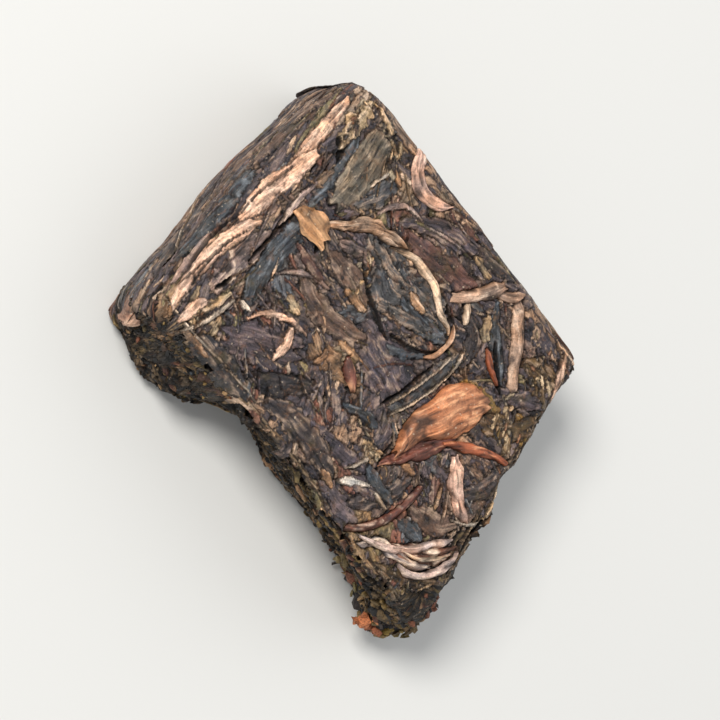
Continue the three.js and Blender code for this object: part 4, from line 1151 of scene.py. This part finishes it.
# painted shade: the mat's colour darkens toward near black where it dips past the torn edge and the walls' end
# lines
skin_mat["tone"] *= 1 - 0.75 * np.clip(2.5 * (mat_past + 0.12), 0, 1)[..., None]
met = read(skin_met, (mat_u - sheet_u[0]) / SKIN_PITCH, (mat_v - sheet_v[0]) / SKIN_PITCH)
one_fold = (mat_v > RIM["on"][1] - SHEET_CORNER["rim"]) | (mat_u > FLANK["on"][0] - SHEET_CORNER["flank"])
mat_keep = (mat_past < LAST_OF_MAT) & (met > ENOUGH_MET) & one_fold
on_top = (mat_v > RIM["on"][1] - TOP_ENDS["rim"]) & (mat_u > FLANK["on"][0] - TOP_ENDS["flank"])
walls = mat_keep & ~on_top
mat_keep[walls] = ~strays(on_skin(mat_u[walls], mat_v[walls], 0 * mat_u[walls]), WALL_STRAY)
mat_finish = leaf_finish("pressed leaf mat", olive=0.3, dull=0.66, gloss=0.26, relief=1.0)
mat_object("top_mat", skin_mat, mat_keep & on_top, on_skin, mat_finish)
wall_keep = ~on_top
for axis in (0, 1):
    wall_keep = wall_keep | np.roll(wall_keep, 1, axis)
mat_object("wall_mat", skin_mat, mat_keep & wall_keep, on_skin, mat_finish)

# ---- The broken sides ----
# Where the cake was snapped, its layers of leaf end in the open: torn edges lie along the face in
# strata, and rolled leaves point out of it and stop short.
TORN = [
    *[seen(27, 24, 23)] * 5, *[seen(18, 16, 16)] * 5, seen(42, 34, 29), seen(76, 62, 36),
    seen(120, 98, 58), seen(80, 50, 40), seen(132, 102, 76), *[seen(31, 34, 38)] * 3,
]
TORN_LEAVES = 320
TORN_LAYERS = 26
BREAK_PITCH = 0.14
BREAK_ENDS = (first_station - 2.2, last_station + 1.4)
BREAK_TAIL = {"slope": 0.25, "reach": 4}    # the face draws in past each corner, under the walls
BREAK_STRAY = 0.8                           # cells further than this off the solid are dropped
BREAK_FLOOR = -1.4
BREAK_ROUNDS = [
    scraps(900, (3, 9), (0.8, 2.6), (-1.5, 0.35), 0.5, 0.4),
    scraps(900, (1.5, 6), (0.2, 0.7), (-0.9, 0.35), 0.16, 0.6),
    scraps(600, (0.6, 2.2), (0.4, 1.3), (-0.8, 0.55), 0.4, 0.6),
]
break_mat = new_mat(
    np.arange(*BREAK_ENDS, BREAK_PITCH), np.arange(0.05, PRESSED_TOP - 0.25, BREAK_PITCH), BREAK_FLOOR
)


def anywhere_broken(random):
    """A spot anywhere on the broken faces, with leaf lying nearly level there."""
    return random.uniform(*BREAK_ENDS), random.uniform(0, PRESSED_TOP), random.normal(0, 26), 0.9


scatter(break_mat, np.random.default_rng(40), BREAK_ROUNDS, TORN, seen(150, 122, 84), anywhere_broken)
past_far = np.clip(break_mat["u"][:, :1] - last_station, 0, BREAK_TAIL["reach"])
past_near = np.clip(first_station - break_mat["u"][:, :1], 0, BREAK_TAIL["reach"])
break_mat["off"] -= BREAK_TAIL["slope"] * past_far + BREAK_TAIL["slope"] * past_near
break_finish = leaf_finish("broken leaf face", olive=0.16, dull=0.74, gloss=0.34, mingled=0.25, sheen=0.3)

# The roof is a grid of how high the solid's top stands, so that no torn leaf pokes through the skin.
ROOF_PITCH = 0.5
ROOF_MARGIN = 2
ROOF_RAY = {"above": 1, "reach": 30}
ROOF_GAP = {"mat": 0.3, "leaf": 0.5}
roof_x = np.arange(low[0] - ROOF_MARGIN, high[0] + ROOF_MARGIN, ROOF_PITCH)
roof_y = np.arange(low[1] - ROOF_MARGIN, high[1] + ROOF_MARGIN, ROOF_PITCH)
over_roof = np.array([(x, y, high[2] + ROOF_RAY["above"]) for x in roof_x for y in roof_y])
straight_down = np.tile((0, 0, -1), (len(over_roof), 1))
roof = high[2] + ROOF_RAY["above"] - struck(over_roof, straight_down, ROOF_RAY["reach"])
roof = calmed(filled(roof.reshape(len(roof_x), len(roof_y))), 1, rounds=1)


def under_roof(spots, by):
    """Keeps spots at least so far under the top of the piece."""
    top = read(roof, (spots[..., 0] - roof_x[0]) / ROOF_PITCH, (spots[..., 1] - roof_y[0]) / ROOF_PITCH)
    spots[..., 2] = np.maximum(np.minimum(spots[..., 2], top - by), FOOT)
    return spots


def face_place(along, level, out):
    """A place on the broken face, kept under the top of the piece."""
    return under_roof(on_break(along, level, out), ROOF_GAP["mat"])


met = read(break_met, break_mat["u"] / BREAK_STEP, (break_mat["v"] - levels[0]) / LEVEL_STEP)
face_keep = (met > ENOUGH_MET) & ~strays(face_place(break_mat["u"], break_mat["v"], break_mat["off"]), BREAK_STRAY)
mat_object("break_mat", break_mat, face_keep, face_place, break_finish)

# Each torn leaf lies level in its layer and ends at a jagged limit, a grid over the face.
JAG_FINE = 2               # cells to a step along the face
JAG_ROWS = 34
JAG_REACH = (-1.6, 0.9)    # how far in or out of the face a leaf may end
TORN_STRAY = 0.9           # a leaf that stands further off the solid than this is left out
torn_random = np.random.default_rng(41)
face_jag = calmed(torn_random.uniform(*JAG_REACH, (len(line) * JAG_FINE, JAG_ROWS)), 1, rounds=1)


def torn_leaf(along, level, heading, shape, roll, climb, proud, thin):
    """A leaf in the broken side: laid level at a height, turned, rolled, and torn off at the face."""
    shape = turned(shape, along, 0, heading)
    out = -shape["v"]
    out = out - out.max() + proud
    layer = np.full(out.shape, level / PRESSED_TOP * (JAG_ROWS - 2))
    over = np.maximum(0, out - read(face_jag, shape["u"] / BREAK_STEP * JAG_FINE, layer))
    out = out - over + 0.2 * np.tanh(over)
    rise = level + shape["height"] + climb * (shape["u"] - along) + roll * (out - proud) - 0.25 * over
    rise = np.clip(rise, 0.1, PRESSED_TOP - 0.1)
    u, low_side, out_side = (a[:, BACK_EDGES] for a in (shape["u"], rise - thin, out))
    return {
        **shape,
        "off": np.minimum(0.2, 0.8 * out + 0.1),
        "top": under_roof(on_break(shape["u"], rise, out), ROOF_GAP["leaf"]),
        "back": under_roof(on_break(u, low_side, out_side), ROOF_GAP["leaf"] + thin),
    }


torn_leaves = []
for i in range(TORN_LEAVES):
    along = torn_random.uniform(first_station, last_station)
    level = (i % TORN_LAYERS + torn_random.uniform(0, 1)) / TORN_LAYERS * (PRESSED_TOP - 1.4) + 0.5
    pointing = torn_random.random() < 0.4
    long, wide = torn_random.uniform(4, 9), torn_random.uniform(1.4, 3.4)
    shape = leaf_shape(
        torn_random, long, wide, torn_random.uniform(0.3, 0.9), bend=torn_random.normal(0, 25), blunt=0.6,
        crown=torn_random.uniform(0.6, 1.2), power=2, wrinkle=0.3, ragged=0.45, coarse=1.8,
    )
    heading = torn_random.normal(90, 30) if pointing else torn_random.normal(0, 20)
    leaf = torn_leaf(
        along, level, heading, shape, roll=torn_random.normal(0, 0.35), climb=torn_random.normal(0, 0.1),
        proud=torn_random.uniform(0.1, 1.3), thin=torn_random.uniform(0.15, 0.4),
    )
    tone = np.array(TORN[torn_random.integers(len(TORN))])[:3] * torn_random.uniform(0.7, 1.3)
    if strays(leaf["top"][::3, ::3], TORN_STRAY).any():
        continue
    shade = streaked_and_shaded(leaf["along"], leaf["across"], leaf["seed"], tone, seen(168, 140, 96), 0.6)
    torn_leaves.append({**leaf, "tone": shade, "edging": 0.5})
torn_finish = leaf_finish("torn leaf edge", olive=0.16, dull=0.74, gloss=0.34, mingled=0.25, sheen=0.3)
leaf_object("torn_leaves", torn_leaves, torn_finish)

# ---- The underside ----
# The mould's base pressed the same mat of leaf flat under the piece. Its scraps all lie flush on the
# piece's lower face, in every direction, and the piece rests on them.
UNDER_PITCH = 0.25
UNDER_FLOOR = -0.4
UNDER_DEEPEST = 0.44
UNDER_RAY = {"below": 1.0, "reach": 1.3}
UNDER_ROUNDS = [
    scraps(420, (3, 10), (0.8, 3.4), (-0.3, 0.1), 0.24, 0.4),
    scraps(260, (1, 7), (0.25, 0.6), (-0.1, 0.1), 0.1, 0.8),
]
under_mat = new_mat(
    np.arange(-high[0] - 1, -low[0] + 1, UNDER_PITCH), np.arange(low[1] - 1, high[1] + 1, UNDER_PITCH),
    UNDER_FLOOR,
)


def anywhere_under(random):
    """A spot anywhere on the underside, with leaf lying in any direction there."""
    x, y = random.uniform(*under_mat["u"][[0, -1], 0]), random.uniform(*under_mat["v"][0, [0, -1]])
    return x, y, random.uniform(0, 180), 1.0


def on_base(u, v, off):
    """The point on the piece's lower face, which is seen from below, so its u runs the other way."""
    return np.stack([-u, v, FOOT + np.clip(-off, 0, UNDER_DEEPEST)], -1)


under_random = np.random.default_rng(43)
scatter(under_mat, under_random, UNDER_ROUNDS, MAT_TONES, seen(186, 156, 130), anywhere_under)
below = np.stack([-under_mat["u"], under_mat["v"], np.full(under_mat["u"].shape, -UNDER_RAY["below"])], -1)
straight_up = np.tile((0, 0, 1), (under_mat["u"].size, 1))
under_keep = ~np.isnan(struck(below.reshape(-1, 3), straight_up, UNDER_RAY["reach"]))
mat_object("under_mat", under_mat, under_keep.reshape(under_mat["u"].shape), on_base, mat_finish)

# ---- Crumbs ----
# Breaking the cake leaves crumbs of leaf and stalk stuck to the broken faces, with most on the toe
# and the ledge. They are tiny angular bits, olive, tan and dark brown.
CRUMBS = [
    seen(112, 90, 48), seen(134, 108, 62), seen(96, 76, 46), seen(150, 118, 80), seen(112, 66, 44),
    seen(44, 36, 32), *[seen(20, 18, 17)] * 5, *[seen(32, 28, 26)] * 4, seen(66, 50, 40),
    seen(38, 42, 46),
]
CRUMB_COUNT = 620
TOE_CRUMBS = 260
TOE_TONES = 8                # the first of the tones, which are the lighter ones, for the toe
TOE_SIZE = 1.9
TOE_SPREAD = 3.2
TOE_LEVELS = (0.4, 11)
TOE_MIDDLE = (17.6, 23.8)
CRUMB_STRAY = 0.7            # no crumb stands further than this off the solid
CRUMB_FOOT = 0.05
LUMP_CRUMBS = 5              # crumbs to a lump
TOE_LUMPS = [
    ((19.9, 21.6, 4.6), 1.5, seen(170, 100, 60)), ((20.0, 23.2, 4.4), 1.4, seen(146, 84, 52)),
    ((19.4, 22.4, 6.2), 1.1, seen(198, 128, 84)), ((18.6, 24.8, 4.0), 1.5, seen(142, 116, 52)),
    ((17.6, 26.4, 3.4), 1.5, seen(132, 112, 62)), ((16.8, 27.0, 4.6), 1.4, seen(104, 84, 52)),
    ((15.6, 27.2, 4.2), 1.4, seen(84, 66, 44)), ((13.6, 26.4, 5.4), 1.7, seen(62, 50, 42)),
    ((13.0, 26.2, 7.0), 1.4, seen(128, 72, 44)), ((18.6, 22.8, 8.0), 1.2, seen(150, 124, 92)),
    ((18.2, 19.6, 8.8), 1.2, seen(120, 98, 62)), ((18.8, 18.4, 6.0), 1.2, seen(96, 84, 50)),
    ((18.4, 13.6, 7.4), 1.3, seen(104, 88, 54)), ((18.2, 16.2, 9.6), 1.0, seen(146, 120, 76)),
]
toe_station = int(np.argmin(np.hypot(*(line - TOE_MIDDLE).T))) * BREAK_STEP

crumb_random = np.random.default_rng(42)
ball = bmesh.new()
bmesh.ops.create_icosphere(ball, subdivisions=1, radius=0.5)
ball_spots = np.array([v.co for v in ball.verts])
ball_faces = np.array([[v.index for v in f.verts] for f in ball.faces])
ball.free()


def crumb(random, middle, size):
    """A small angular lump: a ball squeezed, dented and turned."""
    dented = ball_spots * random.uniform(0.6, 1.4, (len(ball_spots), 1))
    spots = dented * random.uniform(0.35, 1.5, 3) * size
    turn = np.linalg.qr(random.normal(size=(3, 3)))[0]
    turn *= np.sign(np.linalg.det(turn))
    return spots @ turn.T + middle


crumb_spots, crumb_tones = [], []
for i in range(CRUMB_COUNT + TOE_CRUMBS):
    along = crumb_random.uniform(first_station, last_station)
    level = crumb_random.uniform(0.6, PRESSED_TOP - 0.8)
    if i >= CRUMB_COUNT:
        along = crumb_random.normal(toe_station, TOE_SPREAD)
        level = crumb_random.uniform(*TOE_LEVELS)
    at = np.array([along - BREAK_ENDS[0], level]) / BREAK_PITCH
    cell = tuple(np.minimum(at.astype(int), np.array(face_keep.shape) - 1))
    lying = read(break_mat["off"], *at) + crumb_random.uniform(-0.1, 0.15)
    middle = face_place(np.array(along), np.array(level), lying)
    if strays(middle, CRUMB_STRAY) or not face_keep[cell]:
        continue
    size = crumb_random.uniform(0.25, 0.75) * crumb_random.uniform(0.6, 1.2)
    size *= 1 if i < CRUMB_COUNT else TOE_SIZE
    spots = crumb(crumb_random, middle, size)
    spots[:, 2] = np.maximum(spots[:, 2], CRUMB_FOOT)
    crumb_spots.append(spots)
    tone = np.array(CRUMBS[crumb_random.integers(len(CRUMBS) if i < CRUMB_COUNT else TOE_TONES)])
    crumb_tones.append(np.tile(tone * (*[crumb_random.uniform(0.7, 1.2)] * 3, 1), (len(spots), 1)))
for place, size, tone in TOE_LUMPS:
    for _ in range(LUMP_CRUMBS):
        middle = np.array(place) + crumb_random.normal(0, 0.3 * size, 3)
        crumb_spots.append(crumb(crumb_random, middle, size * crumb_random.uniform(0.5, 0.9)))
        shade = np.array(tone) * (*[crumb_random.uniform(0.7, 1.3)] * 3, 1)
        crumb_tones.append(np.tile(shade, (len(ball_spots), 1)))
crumb_mesh = bpy.data.meshes.new("crumbs")
crumb_mesh.from_pydata(
    (np.concatenate(crumb_spots) * MM).tolist(), [],
    np.concatenate([ball_faces + i * len(ball_spots) for i in range(len(crumb_spots))]).tolist(),
)
crumb_mesh.attributes.new("tone", "FLOAT_COLOR", "POINT").data.foreach_set(
    "color", np.concatenate(crumb_tones).reshape(-1)
)
crumb_finish = Finish("leaf crumb")
crumb_where = crumb_finish.node("TexCoord", output="Object")
crumb_grain = crumb_finish.noise(crumb_where, 3800, detail=5, rough=0.7)
crumb_tone = crumb_finish.node("Attribute", output="Color", attribute_name="tone")
crumb_light = crumb_finish.between(crumb_grain, 0.35, 0.65, 0.45, 1.5)
crumb_finish.set(
    Base_Color=crumb_finish.mixed(1.0, crumb_tone, crumb_light, "MULTIPLY"),
    Roughness=crumb_finish.between(crumb_grain, 0.3, 0.7, 0.85, 0.55),
    Normal=crumb_finish.node("Bump", {"Strength": 0.9, "Distance": 0.0001, "Height": crumb_grain}),
)
crumb_mesh.materials.append(crumb_finish.material)
crumbs = new_object("crumbs", crumb_mesh)
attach(crumbs, "root")
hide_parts("tea_piece")

# ---- Floor, light and camera ----
# A plain pale floor and soft studio light from the upper left of the view. The camera looks down, as
# in the photograph, from high over the corner between the rim and the long break.
FLOOR_HALF = 2.0
FLOOR_DROP = 0.0002
floor_mesh = bpy.data.meshes.new("pale_floor")
floor_corners = ((-1, -1), (1, -1), (1, 1), (-1, 1))
floor_mesh.from_pydata(
    [(x * FLOOR_HALF, y * FLOOR_HALF, -FLOOR_DROP) for x, y in floor_corners], [], [(0, 1, 2, 3)]
)
floor = new_object("pale_floor", floor_mesh)
paper = Finish("pale floor")
paper.set(Base_Color=seen(216, 215, 211), Roughness=0.6)
floor_mesh.materials.append(paper.material)

CAMERA = Vector((165.0, -178.5, 478.8)) * MM
AIM = Vector((0.3, -0.6, 7.5)) * MM
PICTURE_UP = Vector((-0.708, -0.706, 0))
SENSOR = 36
LENS = 232
camera = new_object("camera", bpy.data.cameras.new("camera"))
camera.data.sensor_width = SENSOR
camera.data.lens = LENS
camera.data.clip_start = 0.01
back = (CAMERA - AIM).normalized()
right = PICTURE_UP.cross(back).normalized()
up = back.cross(right)
camera.matrix_world = Matrix((
    (right.x, up.x, back.x, CAMERA.x), (right.y, up.y, back.y, CAMERA.y),
    (right.z, up.z, back.z, CAMERA.z), (0, 0, 0, 1),
))
bpy.context.scene.camera = camera


def lamp(name, place, size, power, colour):
    """A round soft light at a place, turned to the middle of the floor."""
    light = bpy.data.lights.new(name, "AREA")
    light.shape = "DISK"
    light.size = size
    light.energy = power
    light.color = colour
    made = new_object(name, light)
    made.location = place
    made.rotation_euler = (-Vector(place)).to_track_quat("-Z", "Y").to_euler()


lamp("key", (0.05, -0.62, 0.72), 0.36, 8.9, (1.0, 0.985, 0.96))
lamp("fill", (-0.6, 0.5, 0.6), 0.9, 2.0, (0.93, 0.96, 1.0))
world = bpy.data.worlds.new("soft room")
world.use_nodes = True
sky = world.node_tree.nodes["Background"].inputs
sky["Color"].default_value = (0.95, 0.97, 1.0, 1)
sky["Strength"].default_value = 0.5
bpy.context.scene.world = world
bpy.context.scene.view_settings.view_transform = "Standard"
